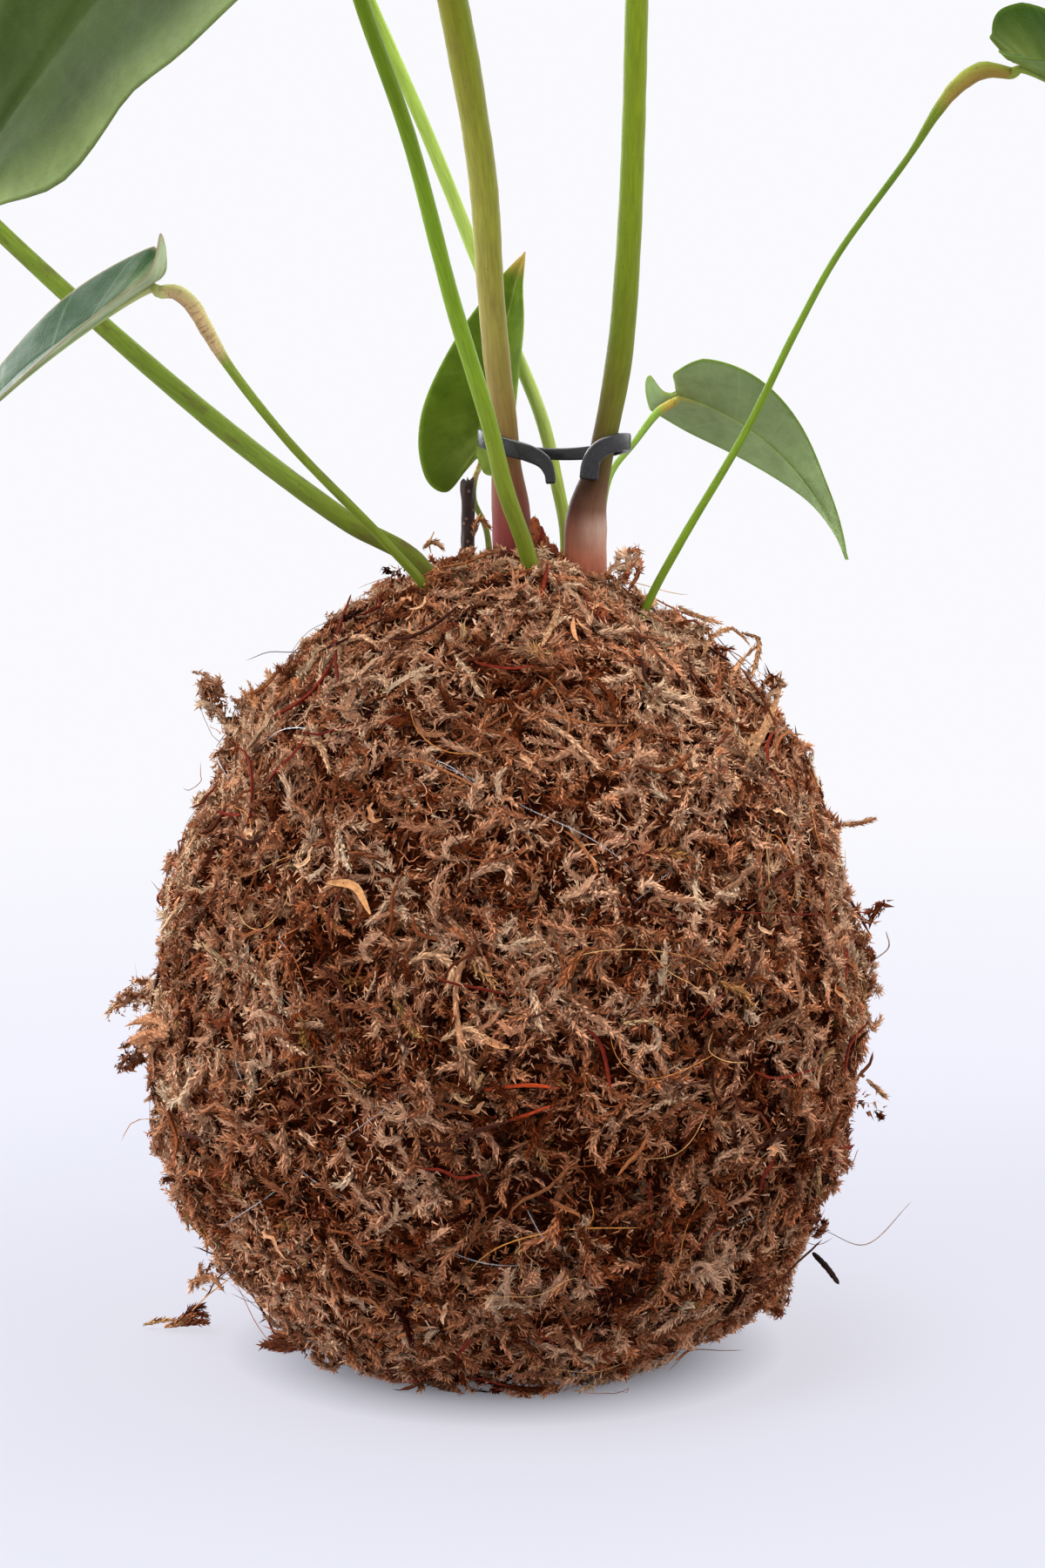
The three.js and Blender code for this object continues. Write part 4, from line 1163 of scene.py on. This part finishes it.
skin = Skin("stake_wood")
grain = skin.noise(1.0, 4, 0.65, vector=skin.stretched((1800, 1800, 260)))
skin.bump(grain, 0.3, 0.8)
flecks = skin.span(skin.cells(620, "F1"), 0.2, 0.12, 0, 0.6)
wood = skin.mix(flecks, skin.ramp(grain, *BARK), (0.28, 0.14, 0.12))
stake_material = skin.set(wood, skin.spread(grain, 0.6, 0.85), 0.35)
piece("stake_stick", points, faces, stake_material, ("stake",))

# clip
# Each point is x, y, z and half the strip's height there
CLIP_ROUTE = [
    (7.3, -1.3, 141.3, 0.8), (7.1, -1.3, 142.9, 0.85), (6.2, -1.3, 144.7, 1.15), (4, -1.2, 146, 1.35),
    (0.6, -0.6, 147, 1.4), (-2.7, 0.6, 148, 1.4), (-3.7, 3.2, 148.4, 1.4), (-2.6, 5.7, 147.6, 1.3),
    (1, 6.6, 146.2, 1), (8, 5.8, 145.6, 0.95), (14.5, 4.7, 146, 1.1), (18.4, 3.2, 147, 1.3),
    (19.4, 0.7, 147.8, 1.4), (18, -1.8, 147.9, 1.4), (15.7, -2.8, 147.2, 1.4), (14.1, -3.1, 145.7, 1.4),
    (13.5, -3.1, 143.9, 1.5), (13.3, -3.1, 142, 1.5),
]
CLIP_HALF = 0.72
SQUARENESS = 0.36
CLIP_SIDES, CLIP_RINGS = 20, 170


def squared(v):
    """A sine or cosine pushed out towards the sides of a square."""
    return (np.sign(v) * np.abs(v) ** SQUARENESS)[..., None]


def clip_piece():
    values, along = through(CLIP_ROUTE, CLIP_RINGS)
    line, tall = values[:, :3], values[:, 3]
    forward = unit(np.gradient(line, axis=0))
    outward = unit(np.cross(np.array([0, 0, 1.0]), forward))
    upward = np.cross(forward, outward)
    angle = around(CLIP_SIDES)
    end = np.minimum(along, along[-1] - along)
    thick = (CLIP_HALF * held(0.78 + end * 0.8))[:, None, None]
    tall = (tall * held(0.84 + end * 0.6))[:, None, None]
    ring = line[:, None] + thick * squared(np.cos(angle)) * outward[:, None]
    ring = ring + tall * squared(np.sin(angle)) * upward[:, None]
    ends = line[:1] - forward[:1] * 0.05, line[-1:] + forward[-1:] * 0.05
    points = np.concatenate([ring.reshape(-1, 3), *ends])
    faces = tube_faces(len(line), CLIP_SIDES, len(points) - 2, len(points) - 1)
    skin = Skin("clip_plastic")
    grit = skin.noise(1900, 3, 0.6)
    skin.bump(skin.math("ADD", grit, skin.noise(260, 2)), 0.1, 0.35)
    mottled = skin.ramp(skin.noise(160, 4), (0.3, (22, 21, 23)), (0.7, (36, 35, 37)))
    specks = skin.span(skin.cells(1500, "F1"), 0.22, 0.12, 0, 0.25)
    mottled = skin.mix(specks, mottled, (0.13, 0.13, 0.15))
    material = skin.set(mottled, skin.spread(grit, 0.22, 0.38), 0.4)
    piece("clip_strip", points, faces, material, ("clip",))


clip_piece()

# thread and soil
skin = Skin("thread_nylon")
skin.bump(skin.noise(3000, 2), 0.02, 0.3)
clear = skin.ramp(skin.noise(500, 2), (0.3, (224, 228, 236)), (0.7, (246, 248, 252)))
gloss = skin.spread(skin.noise(900, 2), 0.08, 0.18)
thread_material = skin.set(clear, gloss, 0.5, Transmission_Weight=0.85, IOR=1.53)
THREAD_TURNS = [(34, 20), (48, 140), (40, 262)]  # the tilt of each turn, and where it tilts to
THREAD_RADIUS, THREAD_DEPTH = 0.09, 0.9


def thread_loop(tilt, turn, steps=300):
    """A loop that lies in the moss: it shows here and there, and dips under the strands between."""
    a = 2 * math.pi * np.arange(steps + 1) / steps
    lean = Matrix.Rotation(math.radians(turn), 3, "Z") @ Matrix.Rotation(math.radians(tilt), 3, "X")
    way = np.stack([np.cos(a), np.sin(a), 0 * a], 1) @ np.array(lean).T
    sink = 1.1 * np.sin(7 * a + tilt) + 0.9 * np.sin(13 * a + turn)
    return BALL_MIDDLE + way * (moss_reach(way) - THREAD_DEPTH + sink)[:, None]


skin = Skin("soil_crumb")
crumb = skin.noise(420, 6, 0.7)
skin.bump(crumb, 0.8)
earth = skin.ramp(crumb, (0.3, (24, 15, 10)), (0.55, (52, 36, 26)), (0.8, (92, 70, 52)))
soil_material = skin.set(earth, 0.95, 0.2)
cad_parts["soil_core"].data.materials.clear()
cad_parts["soil_core"].data.materials.append(soil_material)

# what the photograph shows on the moss, by pixel


def on_picture(pixels, lifts, count):
    """A line over the moss through pixels of the image, lifted off it, or as near as it can pass."""
    places = []
    for (px, py), lift in zip(pixels, lifts):
        way = unit(ray(px, py))
        place, normal, _, _ = outside.ray_cast(EYE.tolist(), way.tolist())
        if place is None:
            place = EYE + way * ((BALL_MIDDLE - EYE) @ way)
            for _ in range(6):
                nearest, normal, _, _ = outside.find_nearest(place.tolist())
                place = EYE + way * ((np.array(nearest) - EYE) @ way)
        places.append(np.concatenate([np.array(place) + np.array(normal) * lift, np.array(normal)]))
    values, _ = through(places, count)
    return values[:, :3], unit(values[:, 3:])


# Leafy strands: the pixels they pass, their radius and colour
FRONDS = [
    (((345, 850), (372, 862), (386, 896)), 0.55, (226, 176, 134)),
    (((850, 884), (872, 838), (892, 792)), 0.75, (206, 152, 108)),
    (((846, 872), (862, 850), (880, 838)), 0.5, (196, 142, 102)),
    (((541, 1078), (526, 1118), (523, 1165), (532, 1212), (527, 1258)), 0.6, (222, 160, 116)),
    (((508, 1196), (532, 1180), (562, 1196)), 0.5, (236, 186, 140)),
    (((512, 1240), (536, 1262), (556, 1226)), 0.45, (230, 180, 130)),
    (((470, 1110), (498, 1096), (520, 1112), (512, 1140)), 0.6, (226, 176, 134)),
    (((206, 1184), (176, 1178), (144, 1174)), 1, (206, 146, 104)),
    (((206, 1190), (180, 1188), (152, 1188)), 1.3, (196, 134, 94)),
    (((204, 1196), (182, 1196), (156, 1198)), 1.2, (190, 128, 88)),
    (((202, 1180), (180, 1178), (162, 1176)), 1, (200, 142, 102)),
    (((196, 1184), (182, 1192), (164, 1194)), 1.2, (214, 156, 114)),
    (((306, 820), (292, 806), (280, 796)), 0.4, (196, 136, 94)),
    (((308, 814), (296, 800), (292, 788)), 0.35, (180, 120, 80)),
    (((950, 950), (976, 946), (997, 940)), 0.45, (196, 140, 100)),
    (((708, 676), (716, 658), (722, 644)), 0.55, (176, 108, 72)),
    (((716, 680), (726, 664), (732, 652)), 0.45, (150, 88, 58)),
    (((700, 674), (706, 662), (716, 655)), 0.4, (196, 134, 92)),
    (((266, 1476), (246, 1464), (226, 1470)), 0.45, (184, 128, 90)),
    (((356, 1536), (330, 1540), (306, 1548)), 0.9, (110, 58, 38)),
    (((358, 1528), (336, 1530), (316, 1538)), 0.9, (130, 74, 50)),
    (((352, 1542), (334, 1546), (318, 1550)), 0.8, (120, 66, 44)),
    (((800, 764), (812, 738), (838, 730), (856, 752)), 0.5, (196, 144, 104)),
    (((828, 788), (848, 764), (866, 746)), 0.5, (206, 154, 114)),
    (((842, 734), (864, 742), (868, 788)), 0.45, (186, 134, 96)),
    (((770, 704), (796, 716), (822, 724)), 0.5, (214, 160, 118)),
    (((490, 640), (500, 632), (512, 640)), 0.45, (206, 150, 106)),
    (((546, 626), (552, 606), (566, 618)), 0.4, (190, 130, 88)),
    (((984, 1240), (998, 1252), (1008, 1262)), 0.35, (206, 160, 120)),
    (((640, 700), (636, 724), (622, 748)), 0.55, (224, 172, 128)),
    (((396, 772), (400, 748), (424, 738), (440, 752)), 0.6, (226, 174, 134)),
    (((620, 830), (650, 850), (690, 890)), 0.5, (226, 174, 134)),
]
# Bare twigs and hairs: the same, and how far they stand off the moss at either end
FIBRES = [
    (((395, 802), (396, 752), (414, 700)), 0.3, (104, 40, 26), 2, 3),
    (((800, 1046), (900, 1050), (1000, 1042)), 0.13, (104, 36, 26), 0.8, 1.5),
    (((516, 1480), (566, 1432), (640, 1408), (732, 1405)), 0.12, (206, 140, 72), 1, 1.5),
    (((755, 1406), (788, 1440), (786, 1490)), 0.11, (206, 140, 72), 1, 1),
    (((480, 1522), (482, 1498), (502, 1490)), 0.1, (206, 140, 72), 0.8, 0.8),
    (((140, 1311), (154, 1288), (175, 1284), (214, 1291), (262, 1308)), 0.12, (206, 150, 96), 0.2, 0.6),
    (((252, 1362), (276, 1350), (286, 1382)), 0.11, (190, 96, 48), 0.8, 0.8),
    (((942, 1410), (980, 1409), (1020, 1403)), 0.08, (150, 120, 96), 0.8, 6),
    (((930, 1436), (938, 1450), (946, 1462)), 0.5, (46, 34, 28), 0.4, 3),
    (((1000, 1102), (1008, 1078), (1010, 1056)), 0.12, (196, 168, 140), 0.5, 4),
    (((556, 1250), (600, 1244), (642, 1248)), 0.32, (170, 66, 34), 0.8, 1),
    (((566, 1288), (600, 1280), (632, 1268)), 0.26, (150, 56, 30), 0.8, 1),
    (((497, 640), (498, 634), (502, 627)), 0.14, (226, 190, 150), 0.6, 2.5),
    (((744, 1350), (742, 1380), (746, 1402)), 0.2, (120, 34, 26), 0.8, 1),
    (((690, 1040), (752, 1052), (800, 1068)), 0.2, (92, 44, 32), 0.8, 1.2),
    (((448, 1185), (470, 1202), (492, 1222)), 0.22, (74, 40, 30), 0.8, 1),
]
# A crumb of loose moss beside the ball: strands from end to end, their radius and colour
CRUMB = [
    ((-54.5, 9, 1.2), (-51.5, 8.2, 2.6), (-49.4, 8, 2), 0.8, (104, 54, 36)),
    ((-54, 7, 0.9), (-51.4, 6.6, 1.6), (-49.2, 7.2, 1.2), 0.8, (126, 70, 46)),
    ((-53.4, 8.4, 1.8), (-51.6, 8.6, 3.6), (-50, 8.8, 3.4), 0.7, (92, 46, 32)),
    ((-55.6, 7.6, 0.8), (-53.2, 7.4, 2), (-51.2, 7.4, 2.6), 0.8, (150, 92, 62)),
    ((-56.8, 6.6, 0.7), (-54.6, 7, 1.1), (-52.4, 8, 1.6), 0.6, (186, 128, 88)),
    ((-60.6, 8.4, 0.5), (-57.8, 8, 1.3), (-54.8, 7.8, 1.6), 0.4, (214, 164, 112)),
]
CRUMB_HAIR = (-45.5, 5, 9.6), (-49.5, 6.5, 6.2), (-52.4, 7.8, 3.0)
STRAW, PAPER_BROWN = (214, 164, 112), (206, 150, 100)
PAPERY, PAPERY_WIDTH = [(386, 1014), (416, 1020), (432, 1050)], 1.3
LIFT, PAPERY_LIFT = 1.5, 2.2
FROND_LEAVES = 46
ONE, UP = np.ones(1), np.array([0, 0, 1.0])


def frond(line, normal, radius, colour, size):
    one = line[None], normal[None], ONE * radius, linear(colour)[None]
    grow(shown, *one, 5, FROND_LEAVES, ONE * size, ONE * 0.5, ONE * 0.5)


def hair(line, normal, radius, colour):
    bare(shown, line[None], normal[None], ONE * radius, linear(colour)[None], 6)


shown = Batch()
for pixels, radius, colour in FRONDS:
    frond(*on_picture(pixels, [LIFT] * len(pixels), 9), radius, colour, 1.2)
for *places, radius, colour in CRUMB:
    line, _ = through(places, 9)
    frond(line, UP, radius, colour, 1.0)
hair(through(CRUMB_HAIR, 14)[0], UP, 0.14, STRAW)
for pixels, radius, colour, first, last in FIBRES:
    hair(*on_picture(pixels, np.linspace(first, last, len(pixels)), 22), radius, colour)
line, normal = on_picture(PAPERY, [PAPERY_LIFT] * 3, 12)
flakes(shown, line[None], normal[None], ONE * PAPERY_WIDTH, linear(PAPER_BROWN)[None])
shown.make("moss_shown")

# Where the thread glints, and how far it stands off the moss at the middle and the ends
GLINTS = [
    (1.4, 0.6, (251, 857), (259, 878), (269, 901)), (2, 0.2, (487, 868), (517, 887), (548, 904)),
    (1.6, 0.3, (324, 1068), (331, 1083), (338, 1098)), (1.6, 0.3, (275, 1197), (279, 1221), (282, 1246)),
    (1.8, 0.2, (603, 1384), (620, 1410), (637, 1436)),
]
lines = [thread_loop(*t) for t in THREAD_TURNS]
for middle, end, *pixels in GLINTS:
    lines.append(on_picture(pixels, (end, middle, end), 24)[0])
points, faces, count = [], [], 0
for line in lines:
    run, run_faces, *_ = rod(line, np.full((len(line), 6), THREAD_RADIUS))
    points.append(run)
    faces.append(run_faces + count)
    count += len(run)
points, faces = np.concatenate(points), np.concatenate(faces)
piece("thread_run", points, faces, thread_material, ("binding_thread",))

# bracts between the thick stems: places, half widths and colours
BRACTS = [
    (((4.8, 1, 127), (5, 0.8, 131.5), (4.7, 1, 136)), 0.9, (142, 76, 48)),
    (((5.7, 1, 127), (5.9, 0.8, 131), (5.2, 1.2, 134.6)), 0.8, (112, 44, 34)),
    (((6.6, 0.9, 127), (6.8, 0.8, 130), (6.3, 1.1, 133)), 0.8, (158, 98, 62)),
    (((7.8, 0.8, 126.5), (8, 0.7, 129.4), (7.4, 1, 131.6)), 0.7, (128, 66, 42)),
    (((3.2, -0.9, 127.5), (3.6, -0.9, 130.2), (4.1, -0.6, 132.6)), 0.6, (104, 34, 30)),
    (((8.6, -0.6, 126.5), (8.9, -0.8, 128.4), (8.6, -0.6, 130.4)), 0.6, (150, 92, 60)),
    (((6, -0.2, 127), (6.2, -0.4, 129.6), (5.8, 0, 132)), 0.5, (176, 118, 78)),
]
BRACT_FACING = np.array([[0.15, -1.0, 0.1]])
bracts = Batch()
for places, width, colour in BRACTS:
    line = lifted(through(places, 16)[0][None], BRACT_FACING, *[0 * ONE] * 3, ONE * 0.12)
    points, faces, along = tubes(line, BRACT_FACING, ONE * width, 9, 0.3, 0.2, 1.4, 0.75)
    bracts.add(points, faces, shaded(linear(colour)[None], along, 0.7, 1.15))
    points, faces, tone_and_painted_light = leaflets(line, BRACT_FACING, ONE * width, 26, ONE * 1.3, ONE * 0.4, ONE * 0.35)
    bracts.add(points, faces, linear(colour) * tone_and_painted_light)
bracts.make("stem_bracts", "brown_stem")

# stage and light
FLOOR_RADII = [60, 120, 200, 320, 500, 800, 1400, 2600, 5000, 9000]
FLOOR_SIDES = 96
angle = around(FLOOR_SIDES)
rings = [np.stack([radius * np.cos(angle), radius * np.sin(angle), 0 * angle], 1) for radius in FLOOR_RADII]
points = np.concatenate([np.zeros((1, 3)), *rings])
s = np.arange(FLOOR_SIDES)
fan = np.stack([0 * s, 1 + s, 1 + (s + 1) % FLOOR_SIDES], 1)
quads = grid(len(FLOOR_RADII), FLOOR_SIDES, True)[:, [0, 3, 2, 1]] + 1
mesh = bpy.data.meshes.new("floor")
mesh.from_pydata((points * MM).tolist(), [], triangles(quads, fan).tolist())
floor = placed("floor", mesh)

paper = Skin("paper")
distance = paper.new("VectorMath", {0: paper.coordinates()}, operation="LENGTH").outputs["Value"]
# The paper glows as well as taking the lamps' light: painted light, least where the ball touches it, as a
# painted contact shadow, and most far off.
painted_glow_near = paper.span(distance, 0.027, 0.046, 0.12, 0.67)
far = paper.math("ADD", painted_glow_near, paper.span(distance, 0.16, 0.62, 0, 0.33))
paper.set(paper.mix(paper.noise(3, 2), (0.203, 0.212, 0.275), (0.211, 0.220, 0.283)), 0.9, 0.1)
# Near the ball the glow is tinted bluer and a little darker, as painted shadow.
PAPER_NEAR_SHADE_TINT, PAPER_FAR = (0.935, 0.922, 0.998), (0.956, 0.956, 0.991)
glow = paper.new("Emission", {"Color": paper.mix(paper.span(distance, 0.1, 0.5), PAPER_NEAR_SHADE_TINT, PAPER_FAR)})
blend = paper.new("MixShader", {0: far, 1: paper.shader.outputs[0], 2: glow.outputs[0]})
paper.put(blend.outputs[0], paper.output.inputs["Surface"])
floor.data.materials.append(paper.owner)

# Light comes from above, from both sides, more from the left, and from behind, and less from the front.
FRONT_LIGHT, TOP_LIGHT, SIDE_LIGHT, LEFT_LIGHT, BACK_LIGHT = 0.28, 0.7, 2.3, 2.0, 0.8
BACK_LEFT_LIGHT, BACK_RIGHT_LIGHT = 9.0, 4.0
SKY_COLOUR = (0.97, 0.98, 1.0)
world = bpy.data.worlds.new("studio")
bpy.context.scene.world = world
sky = Nodes(world)
direction = sky.new("TexCoord", {}).outputs["Generated"]
axes = sky.new("SeparateXYZ", {0: direction}).outputs
upward, rightward, backward = (sky.math("MAXIMUM", axes[name], 0.0) for name in "ZXY")
leftward = sky.math("MAXIMUM", sky.product(axes["X"], -1.0), 0.0)
strength = FRONT_LIGHT
for share, amount in (
    (upward, TOP_LIGHT), (sky.product(axes["X"], axes["X"]), SIDE_LIGHT), (leftward, LEFT_LIGHT),
    (backward, BACK_LIGHT), (sky.product(backward, leftward), BACK_LEFT_LIGHT),
    (sky.product(backward, rightward), BACK_RIGHT_LIGHT),
):
    strength = sky.math("MULTIPLY_ADD", share, amount, strength)
lit = sky.new("Background", {"Color": SKY_COLOUR, "Strength": strength})
seen = sky.new("Background", {"Color": PAPER_FAR})
camera_ray = sky.new("LightPath", {}).outputs["Is Camera Ray"]
either = sky.new("MixShader", {0: camera_ray, 1: lit.outputs[0], 2: seen.outputs[0]})
sky.new("OutputWorld", {"Surface": either.outputs[0]})

LAMP_PLACE, LAMP_AIM = Vector((-150, -250, 1500)), Vector((0, 0, 90))
LAMP_WIDTH, LAMP_WATTS = 700, 30
lamp = placed("top", bpy.data.lights.new("top", "AREA"))
lamp.data.shape = "DISK"
lamp.data.size = LAMP_WIDTH * MM
lamp.data.energy = LAMP_WATTS
lamp.data.color = (1.0, 0.985, 0.96)
lamp.location = LAMP_PLACE * MM
lamp.rotation_euler = (LAMP_AIM - LAMP_PLACE).to_track_quat("-Z", "Y").to_euler()

bpy.context.scene.view_settings.view_transform = "Standard"
bpy.context.scene.view_settings.look = "None"
